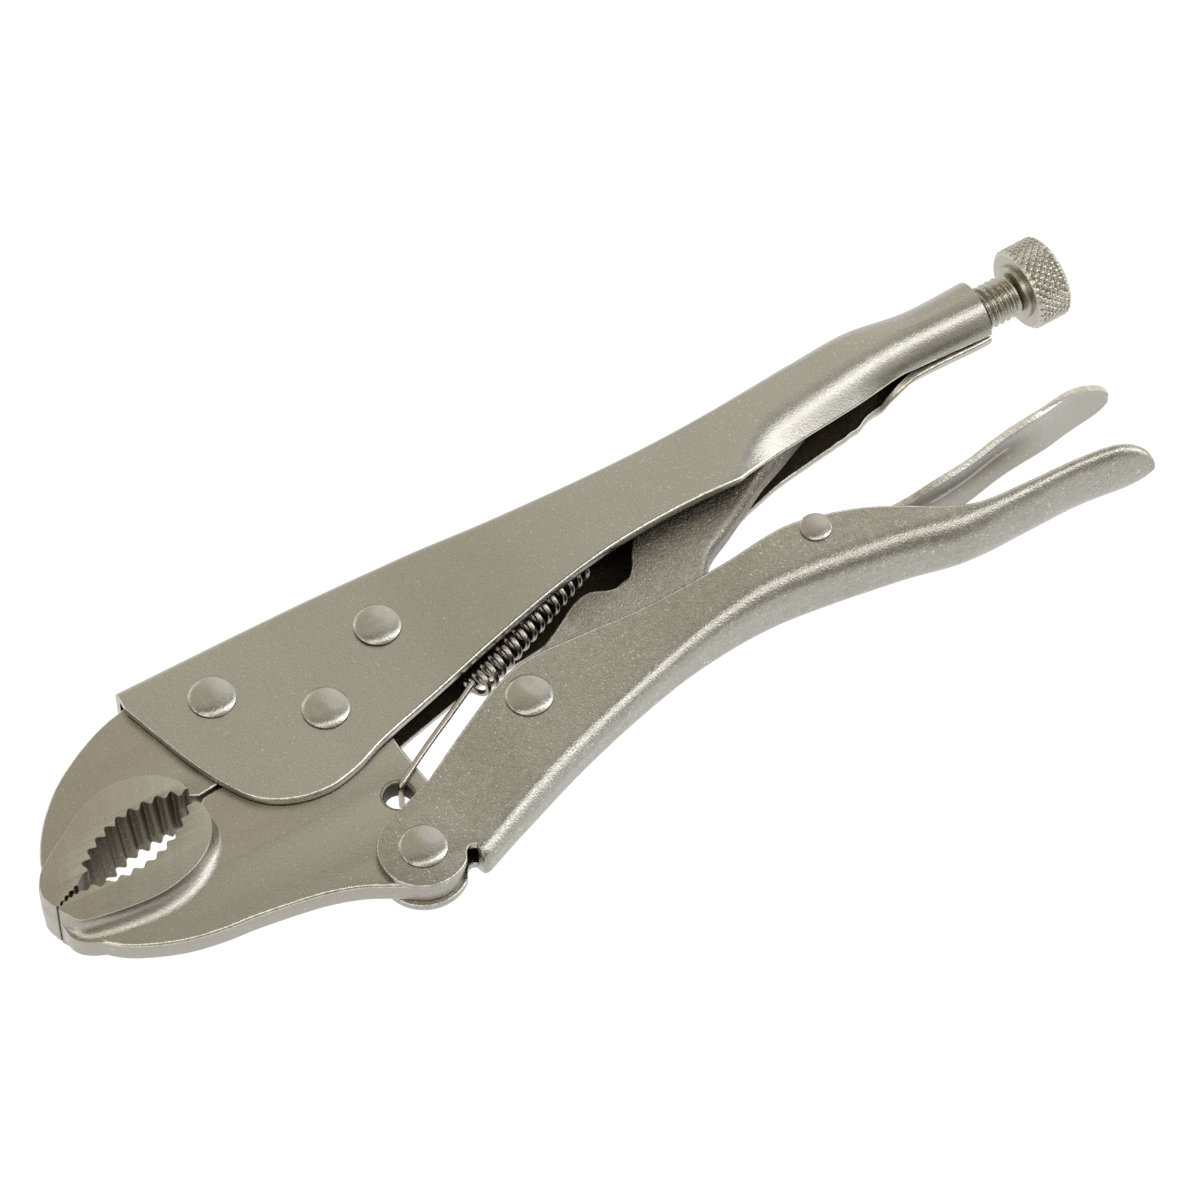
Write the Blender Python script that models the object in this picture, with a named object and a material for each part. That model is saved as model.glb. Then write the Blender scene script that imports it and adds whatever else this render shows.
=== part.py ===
"""Ten inch locking pliers lying on their side: fourteen separate pieces, jaws closed and the toggle locked.

The plane of the tool is X-Y and every hinge axis is along Z. The handles point along +X.
Outlines are in millimetres from the centre of the jaw pivot; place() turns them into metres in the
part's frame.
"""

import bmesh
import bpy
import math
from mathutils import Vector, geometry

MM = 0.001

# where the jaw pivot stands: the object's box is centred over the origin, and its lowest point is at Z = 0
PIVOT_X = -56.37
PIVOT_Y = 6.87
MID_Z = 8.9

# hinge and rivet centres, from the jaw pivot
JAW_PIVOT = (0.0, 0.0)
HANDLE_PIVOT = (1.6, -36.7)
LINK_PIVOT = (35.6, -17.2)
LEVER_PIVOT = (103.3, -12.1)
FRONT_RIVET = (-18.1, 13.1)
REAR_RIVET = (17.7, 11.8)
SPRING_HOLE = (3.4, -23.2)
SPRING_START = (28.3, -7.6)
SPRING_END = (60.6, 7.6)
LUG_HOLE = (67.5, 10.0)
LUG_HOLE_RADIUS = 1.3
LUG_HALF = 0.75
LUG = [(64.0, 21.0), (64.0, 9.0), (65.5, 7.5), (69.5, 7.5), (71.0, 9.0), (71.0, 21.0)]

# adjusting screw: a point on its axis, the axis' rise, and its lengths and radii
SCREW_POINT = (154.0, 21.55)
SCREW_RISE = 3.2
SCREW_TIP = -23.0
SCREW_BARE = 8.5
SCREW_NECK = 16.9
SCREW_HEAD = 18.0
SCREW_TOP = 26.1
THREAD_RADIUS = 4.65
THREAD_DEPTH = 0.75
THREAD_PITCH = 1.5
NECK_RADIUS = 5.9
HEAD_RADIUS = 8.9
HEAD_CHAMFER = 0.8

# sheet, plate and rivet sizes
SHEET = 1.85
JAW_HALF = 2.65
PAD_HALF = 6.4
RIVET_SHANK = 2.5
RIVET_HEAD = 4.75
RIVET_DOME = 1.3
SMALL_SHANK = 1.6
SMALL_HEAD = 3.2
SMALL_DOME = 1.0
HOLE_PLAY = 0.25
SPRING_HOLE_RADIUS = 2.8
ROUND = 24

# upper handle: its crown line, the lower edge of its cheeks, its half width and its corner radius
UPPER_FRONT = -33.8
UPPER_REAR = 161.5
UPPER_CROWN = [(-34, 23.9), (5, 24.8), (28, 24.3), (49.5, 22.6), (73.3, 22.1), (97.3, 23.4), (119.8, 26.8),
               (134, 28.9), (148, 28.1), (162, 28.9)]
UPPER_EDGE = [(-33.8, 18.6), (-31.8, 12.3), (-28.6, 2.6), (-25.5, -4.5), (-21.3, -11.0), (-15.5, -14.8),
              (-8, -16.2), (-1, -14.8), (6, -11.9), (18, -8.2), (35.8, -2.9), (53.5, 1.7), (67.3, 4.3),
              (83.3, 5.6), (97.3, 5.5), (114, 7.2), (126, 9.2), (137, 11.6), (147, 14.2), (162, 15.1)]
UPPER_HALF = [(-34, 4.7), (-5, 4.7), (0, 4.7), (22, 5.15), (36, 6.1), (50, 7.0), (64, 7.5), (84, 7.7),
              (100, 7.7), (114, 7.5), (134, 7.1), (146, 6.9), (162, 6.9)]
UPPER_CORNER = [(-34, 2.1), (95, 2.3), (114, 3.6), (132, 5.6), (146, 6.9), (162, 6.9)]
UPPER_CURL = [(-34, 0.0), (100, 0.0), (120, 0.2), (136, 0.58), (146, 0.93), (162, 0.93)]
EDGE_ROUND = 0.35
SEAM = 0.2

# where a channel closes at its tail: the step left at its edge, and half the slit left in its middle
EDGE_WEB = 0.15
TAIL_SLIT = 0.6

# lower handle: its upper edge, its back, its half width and the corner radius of its back
LOWER_FRONT = 10.8
LOWER_REAR = 173.0
LOWER_EDGE = [(10.8, -23.3), (17.5, -19.3), (26, -14.6), (33, -11.1), (40, -9.4), (52, -9.7), (66, -10.5),
              (83.4, -10.1), (97.3, -8.6), (104.4, -9.5), (113.5, -12.2), (120.7, -15.7), (127.8, -19.8),
              (135, -22.5), (146, -23.0), (158, -23.1), (167, -24.1), (173, -26.2)]
LOWER_BACK = [(10.8, -45.0), (22, -40.1), (38, -33.5), (55, -27.7), (70, -23.8), (86.6, -21.8),
              (100.6, -22.7), (116.4, -25.0), (130, -27.8), (144, -27.4), (157, -26.9), (173, -28.6)]
LOWER_HALF = [(10.8, 4.6), (18, 4.7), (28, 5.2), (40, 5.3), (52, 5.4), (64, 5.8), (76, 6.7), (88, 7.6),
              (98, 7.75), (124, 7.8), (140, 7.6), (160, 7.4)]
LOWER_CORNER = [(10.8, 3.4), (30, 3.8), (60, 3.3), (76, 4.0), (90, 4.8), (110, 5.2), (130, 5.4), (160, 5.4)]
TAIL_START = 164.5
TAIL_CLOSE = (168.0, 171.5)
EAR_RADIUS = 8.9
EAR_INNER = 2.78
EAR_OUTER = 4.58
EAR_ROOT = [(8.6, -42.2), (9.6, -41.8), (10.6, -42.0), (16.0, -39.0), (17.0, -19.9), (13.0, -21.9),
            (9.5, -24.1)]

# jaws: outlines of the plates and of the thick pads, and the teeth
HUB_RADIUS = 9.5
JAW_EAR_RADIUS = 8.0
MOUTH_TEETH = 10
TOOTH_DEPTH = 1.4
TIP_TEETH = 5
TIP_DEPTH = 0.4
HUB_GAP = 0.35
FIXED_HEEL = [(-31, 21.6), (20, 22.0), (23.5, 20.0), (25.0, 12.0), (24.0, 6.5), (20.5, 4.2), (12.5, 4.0)]
FIXED_THROAT = [(-24.0, -2.6), (-30.0, -3.2), (-34.5, -0.6), (-42.0, 1.2), (-50.0, -0.6), (-58.0, -5.5),
                (-62.5, -9.0)]
MOVABLE_REAR = [(10.1, -27.0), (10.1, -22.7), (9.1, -13.8)]
MOVABLE_THROAT = [(-13.0, -5.0), (-24.0, -6.1), (-29.7, -6.6), (-32.6, -9.6), (-36.5, -14.2),
                  (-44.0, -18.8), (-55.0, -18.4), (-62.3, -18.2)]
FIXED_NOSE = [(-64.6, -7.5), (-62.9, -1.6), (-59.2, 4.6), (-53.5, 10.7), (-47.0, 15.2), (-40.0, 18.7),
              (-33.3, 20.7)]
UPPER_MOUTH = [(-58.6, -11.6), (-56.9, -8.6), (-53.8, -6.2), (-49.8, -4.0), (-45.2, -2.7), (-40.8, -2.4),
               (-36.3, -2.8), (-32.4, -4.0)]
UPPER_TIP = [(-65.7, -14.95), (-62.5, -13.3), (-59.5, -12.4)]
UPPER_PAD_BACK = [(-32.0, -4.2), (-32.8, -1.2), (-36.6, 2.3), (-41.6, 4.0), (-47.0, 3.8), (-52.5, 1.8),
                  (-57.5, -1.5), (-62.3, -4.6), (-65.4, -7.4), (-66.9, -11.2), (-66.2, -14.2), (-65.8, -14.8)]
MOVABLE_BOTTOM = [(-63.4, -21.6), (-58.2, -26.6), (-53.0, -29.5), (-46.5, -31.9), (-39.5, -33.2),
                  (-32.0, -33.8), (-20.4, -35.5), (-12.8, -37.7), (-7.0, -40.6)]
LOWER_MOUTH = [(-32.4, -7.2), (-34.9, -9.6), (-38.3, -12.4), (-42.0, -14.6), (-46.2, -15.9), (-50.5, -16.3),
               (-55.0, -15.9), (-59.2, -14.9)]
LOWER_TIP = [(-59.7, -14.4), (-62.9, -15.2), (-65.7, -16.2)]
LOWER_PAD_BACK = [(-65.6, -16.4), (-64.6, -17.9), (-63.1, -20.0), (-59.5, -21.1), (-53.6, -22.0),
                  (-47.4, -22.3), (-42.0, -21.4), (-37.2, -19.4), (-33.4, -16.3), (-31.3, -12.3),
                  (-31.1, -8.8), (-32.0, -7.4)]

# toggle link: its upper edge, its back and the ears round its rivet
LINK_FRONT = 45.0
LINK_REAR = 126.3
LINK_SHEET = 1.6
LINK_HALF = 3.2
LINK_CORNER = 1.9
LINK_EAR = 6.3
LINK_EAR_ROOT = [(48.0, -18.9), (51.0, -17.0), (51.0, -5.0), (46.0, -6.6), (41.0, -9.2)]
EAR_INSET = 0.02
LINK_EDGE = [(45, -7.0), (50, -4.1), (54, -1.7), (58, -0.6), (62.5, -2.2), (66, -1.9), (68.5, 0.3),
             (70.6, 4.0), (74, 8.0), (82, 11.5), (96, 16.0), (112, 20.5), (122, 22.6), (126.3, 21.9)]
LINK_BACK = [(45, -20.6), (60, -17.0), (72, -14.5), (78, -12.2), (80.8, -8.0), (84, -4.3), (90, -0.9),
             (96, 2.6), (102, 6.2), (108, 8.9), (116, 12.8), (126.3, 17.6)]

# release lever: its back, the lower edge of its flanges and its half width
LEVER_FRONT = 76.0
LEVER_REAR = 174.0
LEVER_SHEET = 1.4
LEVER_CORNER = 1.3
LEVER_PAD = 159.0
LEVER_CLOSE = (170.0, 172.5)
LEVER_BACK = [(76, -18.3), (84, -17.2), (92, -13.6), (98, -11.2), (104, -10.5), (111.5, -12.0),
              (119.3, -12.9), (129.2, -13.2), (137.4, -12.2), (147.6, -9.9), (157.7, -8.6), (166, -7.5),
              (174, -8.0)]
LEVER_EDGE = [(76, -19.8), (84, -18.9), (90, -18.0), (100, -17.0), (110, -15.8), (118, -15.2),
              (124, -15.1), (130, -14.9), (138, -13.9), (148, -11.7), (158, -10.4), (166, -9.3), (174, -9.8)]
LEVER_WIDTH = [(76, 3.2), (88, 4.2), (98, 5.2), (108, 5.5), (124, 5.6), (132, 7.2), (140, 7.2), (174, 7.2)]

# return spring
SPRING_TURNS = 16
TURN_STEPS = 8
SPRING_RADIUS = 2.4
WIRE_RADIUS = 0.6


def smooth_line(points, per_span):
    """A Catmull-Rom curve through the points, with per_span steps between neighbours."""
    first = (2 * points[0][0] - points[1][0], 2 * points[0][1] - points[1][1])
    last = (2 * points[-1][0] - points[-2][0], 2 * points[-1][1] - points[-2][1])
    ring = [first] + list(points) + [last]
    line = []
    for i in range(1, len(ring) - 2):
        a, b, c, d = (Vector(ring[i + k]) for k in (-1, 0, 1, 2))
        for step in range(per_span):
            t = step / per_span
            line.append(0.5 * (2 * b + (c - a) * t + (2 * a - 5 * b + 4 * c - d) * t * t
                               + (3 * b - 3 * c + d - a) * t ** 3))
    line.append(Vector(points[-1]))
    return [(v.x, v.y) for v in line]


def value_at(table, x):
    """The height at x of the smooth curve through the table's points, which run along X."""
    if x <= table[0][0]:
        return table[0][1]
    if x >= table[-1][0]:
        return table[-1][1]
    k = next(i for i in range(len(table) - 1) if table[i + 1][0] >= x)
    (x0, y0), (x1, y1) = table[k], table[k + 1]
    span = x1 - x0
    before = (y1 - table[k - 1][1]) / (x1 - table[k - 1][0]) if k else (y1 - y0) / span
    after = (table[k + 2][1] - y0) / (table[k + 2][0] - x0) if k + 2 < len(table) else (y1 - y0) / span
    t = (x - x0) / span
    return ((2 * t ** 3 - 3 * t * t + 1) * y0 + (t ** 3 - 2 * t * t + t) * span * before
            + (3 * t * t - 2 * t ** 3) * y1 + (t ** 3 - t * t) * span * after)


def arc(centre, radius, start, end, steps):
    """Points on an arc between two angles in degrees, both ends included."""
    turn = [math.radians(start + (end - start) * i / steps) for i in range(steps + 1)]
    return [(centre[0] + radius * math.cos(a), centre[1] + radius * math.sin(a)) for a in turn]


def circle(centre, radius, sides=ROUND):
    return arc(centre, radius, 0, 360, sides)[:-1]


def zigzag(line, depth):
    """Teeth along a line: every second point moves to the right of the line's direction by depth."""
    teeth = []
    for i, (x, y) in enumerate(line):
        if i % 2 == 0 or i == len(line) - 1:
            teeth.append((x, y))
            continue
        along = Vector(line[i + 1]) - Vector(line[i - 1])
        along.normalize()
        teeth.append((x + along.y * depth, y - along.x * depth))
    return teeth


def even_line(points, count):
    """The smooth curve through the points, cut into count equal steps."""
    line = [Vector(p) for p in smooth_line(points, 12)]
    length = [0.0]
    for a, b in zip(line, line[1:]):
        length.append(length[-1] + (b - a).length)
    even = []
    for i in range(count + 1):
        goal = length[-1] * i / count
        k = max(1, next((j for j, s in enumerate(length) if s >= goal - 1e-9), len(length) - 1))
        t = (goal - length[k - 1]) / (length[k] - length[k - 1])
        p = line[k - 1].lerp(line[k], t)
        even.append((p.x, p.y))
    return even


def metal(name, colour, roughness):
    material = bpy.data.materials.new(name + "_metal")
    material.use_nodes = True
    shader = material.node_tree.nodes["Principled BSDF"]
    shader.inputs["Base Color"].default_value = (*colour, 1.0)
    shader.inputs["Metallic"].default_value = 1.0
    shader.inputs["Roughness"].default_value = roughness
    return material


def place(name, bm, pivot=JAW_PIVOT):
    """Makes the object, with its origin on the pivot's axis at the middle of the tool's thickness."""
    bmesh.ops.recalc_face_normals(bm, faces=bm.faces)
    for v in bm.verts:
        v.co = Vector((v.co.x - pivot[0], v.co.y - pivot[1], v.co.z)) * MM
    mesh = bpy.data.meshes.new(name)
    bm.to_mesh(mesh)
    bm.free()
    piece = bpy.data.objects.new(name, mesh)
    bpy.context.scene.collection.objects.link(piece)
    piece.location = (MM * (PIVOT_X + pivot[0]), MM * (PIVOT_Y + pivot[1]), MM * MID_Z)
    return piece


def finish(piece, colour, roughness):
    piece.data.materials.clear()
    piece.data.materials.append(metal(piece.name, colour, roughness))
    piece.data.shade_smooth()
    piece.data.set_sharp_from_angle(angle=math.radians(35))
    return piece


def combine(piece, other, operation):
    """Applies one Boolean between the two objects and removes the second."""
    step = piece.modifiers.new(operation.lower(), "BOOLEAN")
    step.operation = operation
    step.solver = "EXACT"
    step.object = other
    bpy.context.view_layer.update()
    shape = bpy.context.evaluated_depsgraph_get()
    mesh = bpy.data.meshes.new_from_object(piece.evaluated_get(shape))
    piece.modifiers.clear()
    piece.data = mesh
    bpy.data.objects.remove(other)
    return piece


def prism(loops, low, high):
    """A plate between two heights from an outline and its holes."""
    bm = bmesh.new()
    flat = [[Vector((x, y, 0.0)) for x, y in loop] for loop in loops]
    triangles = geometry.tessellate_polygon(flat)
    points = [p for loop in flat for p in loop]
    bottom = [bm.verts.new((p.x, p.y, low)) for p in points]
    top = [bm.verts.new((p.x, p.y, high)) for p in points]
    for a, b, c in triangles:
        bm.faces.new((bottom[a], bottom[b], bottom[c]))
        bm.faces.new((top[c], top[b], top[a]))
    start = 0
    for loop in flat:
        size = len(loop)
        for i in range(size):
            a, b = start + i, start + (i + 1) % size
            bm.faces.new((bottom[a], bottom[b], top[b], top[a]))
        start += size
    return bm


def loft(sections):
    """A closed skin over loops of equal length, with a cap at each end."""
    bm = bmesh.new()
    rings = [[bm.verts.new(p) for p in section] for section in sections]
    for one, two in zip(rings, rings[1:]):
        for i in range(len(one)):
            j = (i + 1) % len(one)
            bm.faces.new((one[i], one[j], two[j], two[i]))
    for ring in (rings[0], rings[-1]):
        flat = [Vector(v.co) for v in ring]
        for a, b, c in geometry.tessellate_polygon([flat]):
            bm.faces.new((ring[a], ring[b], ring[c]))
    return bm


def turned(profile, centre, sides=ROUND):
    """A body of revolution about a line along Z through centre; the profile runs from axis to axis."""
    bm = bmesh.new()
    rings = []
    for radius, z in profile:
        if radius == 0.0:
            rings.append([bm.verts.new((centre[0], centre[1], z))])
        else:
            rings.append([bm.verts.new((x, y, z)) for x, y in circle(centre, radius, sides)])
    for one, two in zip(rings, rings[1:]):
        for i in range(sides):
            j = (i + 1) % sides
            corners = [one[i % len(one)], one[j % len(one)], two[j % len(two)], two[i % len(two)]]
            bm.faces.new(list(dict.fromkeys(corners)))
    return bm


def wire(path, radius, sides):
    """A round wire along a list of points, with flat ends."""
    path = [Vector(p) for p in path]
    sections = []
    side = None
    for i, point in enumerate(path):
        along = (path[min(i + 1, len(path) - 1)] - path[max(i - 1, 0)]).normalized()
        if side is None:
            side = along.orthogonal().normalized()
        side = (side - along * side.dot(along)).normalized()
        other = along.cross(side)
        sections.append([point + radius * (math.cos(a) * side + math.sin(a) * other)
                         for a in (2 * math.pi * k / sides for k in range(sides))])
    return loft(sections)


def side_path(crown, half, corner, edge, lip, end):
    """One side of a channel's outline, from its edge to its crown, as (height, width) pairs.

    A negative lip rounds the edge away from the channel's middle, a positive one curls it under.
    """
    path = [(edge, end)]
    for turn in (30, 60, 90):
        a = math.radians(turn)
        path.append((edge + abs(lip) * (1 - math.cos(a)), half - lip + lip * math.sin(a)))
    for turn in (0, 30, 60, 90):
        a = math.radians(turn)
        path.append((crown - corner + corner * math.sin(a), half - corner + corner * math.cos(a)))
    return path


def channel_section(x, crown, half, corner, edge, curl=0.0, wall=SHEET, floor=SHEET, up=1):
    """A channel's section at x: over the outside from edge to edge, and back along the inside."""
    inner_half = half - wall
    inner_corner = max(corner - wall, 0.3)
    lip = EDGE_ROUND + (corner - EDGE_ROUND) * curl
    inner_lip = -EDGE_ROUND + (inner_corner + EDGE_ROUND) * curl
    end = (half - EDGE_ROUND) * (1 - curl) + SEAM * curl
    inner_end = (inner_half + EDGE_ROUND) * (1 - curl) + SEAM * curl
    outer = side_path(crown, half, corner, edge, lip, end)
    inner = side_path(crown - floor, inner_half, inner_corner, edge + wall * curl, inner_lip, inner_end)
    loop = [(x, up * y, z) for y, z in outer] + [(x, up * y, -z) for y, z in reversed(outer)]
    loop += [(x, up * y, -z) for y, z in inner] + [(x, up * y, z) for y, z in reversed(inner)]
    return loop


def stations(start, end, count, extra=()):
    """Even stations from start to end, with some more where the outline turns quickly."""
    even = [start + (end - start) * i / count for i in range(count + 1)]
    return sorted(even + list(extra))


def drill(piece, centre, radius, pivot=JAW_PIVOT, reach=20.0):
    """Cuts a round hole along Z through the piece; centre is in the outline's millimetres."""
    bore = place("bore", prism([circle(centre, radius)], -reach, reach))
    return combine(piece, bore, "DIFFERENCE")


def upper_handle():
    """The pressed channel: two cheeks at the front, rolled into the screw's tube at the rear."""
    sections = []
    for x in stations(UPPER_FRONT, UPPER_REAR, 20, (-32.5, -30, -28, -24, -21.5, -16, -8, 2, 8, 148)):
        sections.append(channel_section(x, value_at(UPPER_CROWN, x), value_at(UPPER_HALF, x),
                                        value_at(UPPER_CORNER, x), value_at(UPPER_EDGE, x),
                                        value_at(UPPER_CURL, x)))
    piece = place("upper_handle", loft(sections))
    bored = [LUG, circle(LUG_HOLE, LUG_HOLE_RADIUS, 16)]
    combine(piece, place("lug", prism(bored, -LUG_HALF, LUG_HALF)), "UNION")
    for centre in (JAW_PIVOT, FRONT_RIVET, REAR_RIVET):
        drill(piece, centre, RIVET_SHANK + HOLE_PLAY)
    return finish(piece, (0.52, 0.49, 0.43), 0.38)


def pad_skirt(back, front):
    """The thick grip pad: full height inside its outline, flaring out to the plate along its back."""
    sections = []
    for height, flare in ((PAD_HALF, 0.0), (PAD_HALF - 2.6, 0.0), (JAW_HALF + 0.5, 0.3),
                          (JAW_HALF - 0.2, 1.2)):
        line = []
        last = len(back) - 1
        for i, (x, y) in enumerate(back):
            along = Vector(back[min(i + 1, last)]) - Vector(back[max(i - 1, 0)])
            along.normalize()
            grow = flare * min(1.0, 4.0 * i / last, 4.0 * (last - i) / last)
            line.append((x + along.y * grow, y - along.x * grow))
        sections.append([(x, y, height) for x, y in line + front])
    mirrored = [[(x, y, -z) for x, y, z in section] for section in reversed(sections)]
    return loft(sections + mirrored)


def fixed_jaw():
    """Jaw plate between the cheeks of the upper handle, with a thick toothed nose."""
    outline = smooth_line(FIXED_NOSE, 3) + FIXED_HEEL
    outline += arc(JAW_PIVOT, HUB_RADIUS + HUB_GAP, 24, 182, 14) + FIXED_THROAT
    piece = place("fixed_jaw", prism([outline], -JAW_HALF, JAW_HALF))
    mouth = zigzag(even_line(UPPER_MOUTH, 2 * MOUTH_TEETH), TOOTH_DEPTH)
    tip = zigzag(even_line(UPPER_TIP, 2 * TIP_TEETH), TIP_DEPTH)
    back = smooth_line(UPPER_PAD_BACK, 2)
    combine(piece, place("pad", pad_skirt(back, tip + mouth)), "UNION")
    for centre in (FRONT_RIVET, REAR_RIVET):
        drill(piece, centre, RIVET_SHANK + HOLE_PLAY)
    return finish(piece, (0.47, 0.44, 0.38), 0.34)


def movable_jaw():
    """Jaw plate that turns on the jaw pivot, with its toothed nose, spring hole and lever ear."""
    outline = smooth_line(MOVABLE_BOTTOM, 3)
    outline += arc(HANDLE_PIVOT, JAW_EAR_RADIUS, -125, 20, 10) + MOVABLE_REAR
    outline += arc(JAW_PIVOT, HUB_RADIUS, -20, 190, 18) + MOVABLE_THROAT
    piece = place("movable_jaw", prism([outline], -JAW_HALF, JAW_HALF))
    tip = zigzag(even_line(LOWER_TIP, 2 * TIP_TEETH), TIP_DEPTH)
    mouth = zigzag(even_line(LOWER_MOUTH, 2 * MOUTH_TEETH), TOOTH_DEPTH * 0.8)
    back = smooth_line(LOWER_PAD_BACK, 2)
    combine(piece, place("pad", pad_skirt(back, mouth + tip)), "UNION")
    drill(piece, JAW_PIVOT, RIVET_SHANK + HOLE_PLAY)
    drill(piece, HANDLE_PIVOT, RIVET_SHANK + HOLE_PLAY)
    drill(piece, SPRING_HOLE, SPRING_HOLE_RADIUS)
    return finish(piece, (0.47, 0.44, 0.38), 0.34)


def tail_scale(x, start, end):
    """How much of the full width is left at x, where the end is rounded off like half an ellipse."""
    if x <= start:
        return 1.0
    return max(0.25, math.sqrt(max(0.0, 1.0 - ((x - start) / (end - start)) ** 2)))


def share_between(limits, x):
    """0 before the first limit and 1 after the second, even in between."""
    return min(1.0, max(0.0, (x - limits[0]) / (limits[1] - limits[0])))


def slope_factor(table, x):
    """How much thicker a sheet is along Y where its line slopes."""
    return math.hypot(1.0, value_at(table, x + 0.5) - value_at(table, x - 0.5))


def lower_handle():
    """The pressed channel that closes the jaws, with two round ears at its front."""
    sections = []
    for x in stations(LOWER_FRONT, LOWER_REAR, 20, (171.5, 172.4)):
        back = -value_at(LOWER_BACK, x)
        edge = -value_at(LOWER_EDGE, x)
        half = value_at(LOWER_HALF, x) * tail_scale(x, TAIL_START, LOWER_REAR + 0.4)
        corner = min(value_at(LOWER_CORNER, x), half - 0.3, back - edge - 0.7)
        close = share_between(TAIL_CLOSE, x)
        floor = SHEET * slope_factor(LOWER_BACK, x)
        floor += (back - edge - EDGE_WEB - floor) * close
        wall = SHEET + (half - TAIL_SLIT - SHEET) * close
        sections.append(channel_section(x, back, half, corner, edge, wall=wall, floor=floor, up=-1))
    piece = place("lower_handle", loft(sections), HANDLE_PIVOT)
    ear = arc(HANDLE_PIVOT, EAR_RADIUS, 118, 312, 20) + EAR_ROOT
    for low, high in ((EAR_INNER, EAR_OUTER), (-EAR_OUTER, -EAR_INNER)):
        combine(piece, place("ear", prism([ear], low, high), HANDLE_PIVOT), "UNION")
    drill(piece, HANDLE_PIVOT, RIVET_SHANK + HOLE_PLAY)
    drill(piece, LINK_PIVOT, RIVET_SHANK + HOLE_PLAY)
    drill(piece, LEVER_PIVOT, SMALL_SHANK + HOLE_PLAY)
    return finish(piece, (0.55, 0.52, 0.46), 0.38)


def toggle_link():
    """The pressed link between the lower handle and the tip of the adjusting screw."""
    sections = []
    for x in stations(LINK_FRONT, LINK_REAR, 16, (79.4, 80.8, 82.2)):
        sections.append(channel_section(x, -value_at(LINK_BACK, x), LINK_HALF, LINK_CORNER,
                                        -value_at(LINK_EDGE, x), wall=LINK_SHEET,
                                        floor=LINK_SHEET * slope_factor(LINK_BACK, x), up=-1))
    piece = place("toggle_link", loft(sections), LINK_PIVOT)
    ear = arc(LINK_PIVOT, LINK_EAR, 105, 268, 16) + LINK_EAR_ROOT
    inner = LINK_HALF - LINK_SHEET + EAR_INSET
    outer = LINK_HALF - EAR_INSET
    for low, high in ((inner, outer), (-outer, -inner)):
        combine(piece, place("ear", prism([ear], low, high), LINK_PIVOT), "UNION")
    drill(piece, LINK_PIVOT, RIVET_SHANK + HOLE_PLAY)
    return finish(piece, (0.42, 0.40, 0.35), 0.42)


def release_lever():
    """The lever in the tail of the lower handle: a nose under the link, and a flat finger pad."""
    sections = []
    for x in stations(LEVER_FRONT, LEVER_REAR, 18, (172.8, 173.5)):
        half = value_at(LEVER_WIDTH, x) * tail_scale(x, LEVER_PAD, LEVER_REAR + 0.3)
        back = value_at(LEVER_BACK, x)
        edge = value_at(LEVER_EDGE, x)
        corner = min(LEVER_CORNER, half - 0.3, back - edge - 0.7)
        close = share_between(LEVER_CLOSE, x)
        floor = min(LEVER_SHEET * slope_factor(LEVER_BACK, x), back - edge - EDGE_WEB)
        floor += (back - edge - EDGE_WEB - floor) * close
        wall = LEVER_SHEET + (half - TAIL_SLIT - LEVER_SHEET) * close
        sections.append(channel_section(x, back, half, corner, edge, wall=wall, floor=floor))
    piece = place("release_lever", loft(sections), LEVER_PIVOT)
    drill(piece, LEVER_PIVOT, SMALL_SHANK + HOLE_PLAY)
    return finish(piece, (0.56, 0.53, 0.46), 0.36)


def adjusting_screw():
    """Threaded rod with a neck collar and a round head; its axis rises slightly towards the head."""
    profile = [(SCREW_TIP, THREAD_RADIUS - 1.2), (SCREW_TIP + 1.2, THREAD_RADIUS),
               (SCREW_BARE, THREAD_RADIUS)]
    rings = int((SCREW_NECK - SCREW_BARE) / THREAD_PITCH)
    for i in range(rings):
        start = SCREW_BARE + i * THREAD_PITCH
        profile += [(start + THREAD_PITCH * 0.5, THREAD_RADIUS - THREAD_DEPTH),
                    (start + THREAD_PITCH, THREAD_RADIUS)]
    profile += [(SCREW_NECK + 0.1, NECK_RADIUS), (SCREW_HEAD + 0.5, NECK_RADIUS),
                (SCREW_HEAD + 0.5, HEAD_RADIUS - 1.8), (SCREW_HEAD, HEAD_RADIUS - 1.3),
                (SCREW_HEAD, HEAD_RADIUS - HEAD_CHAMFER), (SCREW_HEAD + HEAD_CHAMFER, HEAD_RADIUS),
                (SCREW_TOP - HEAD_CHAMFER, HEAD_RADIUS), (SCREW_TOP, HEAD_RADIUS - HEAD_CHAMFER)]
    sections = [[(along, y, z) for y, z in circle((0.0, 0.0), radius)] for along, radius in profile]
    bm = loft(sections)
    rise = math.radians(SCREW_RISE)
    for v in bm.verts:
        along, side = v.co.x, v.co.y
        v.co.x = SCREW_POINT[0] + along * math.cos(rise) - side * math.sin(rise)
        v.co.y = SCREW_POINT[1] + along * math.sin(rise) + side * math.cos(rise)
    return finish(place("adjusting_screw", bm, SCREW_POINT), (0.50, 0.45, 0.37), 0.32)


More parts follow.
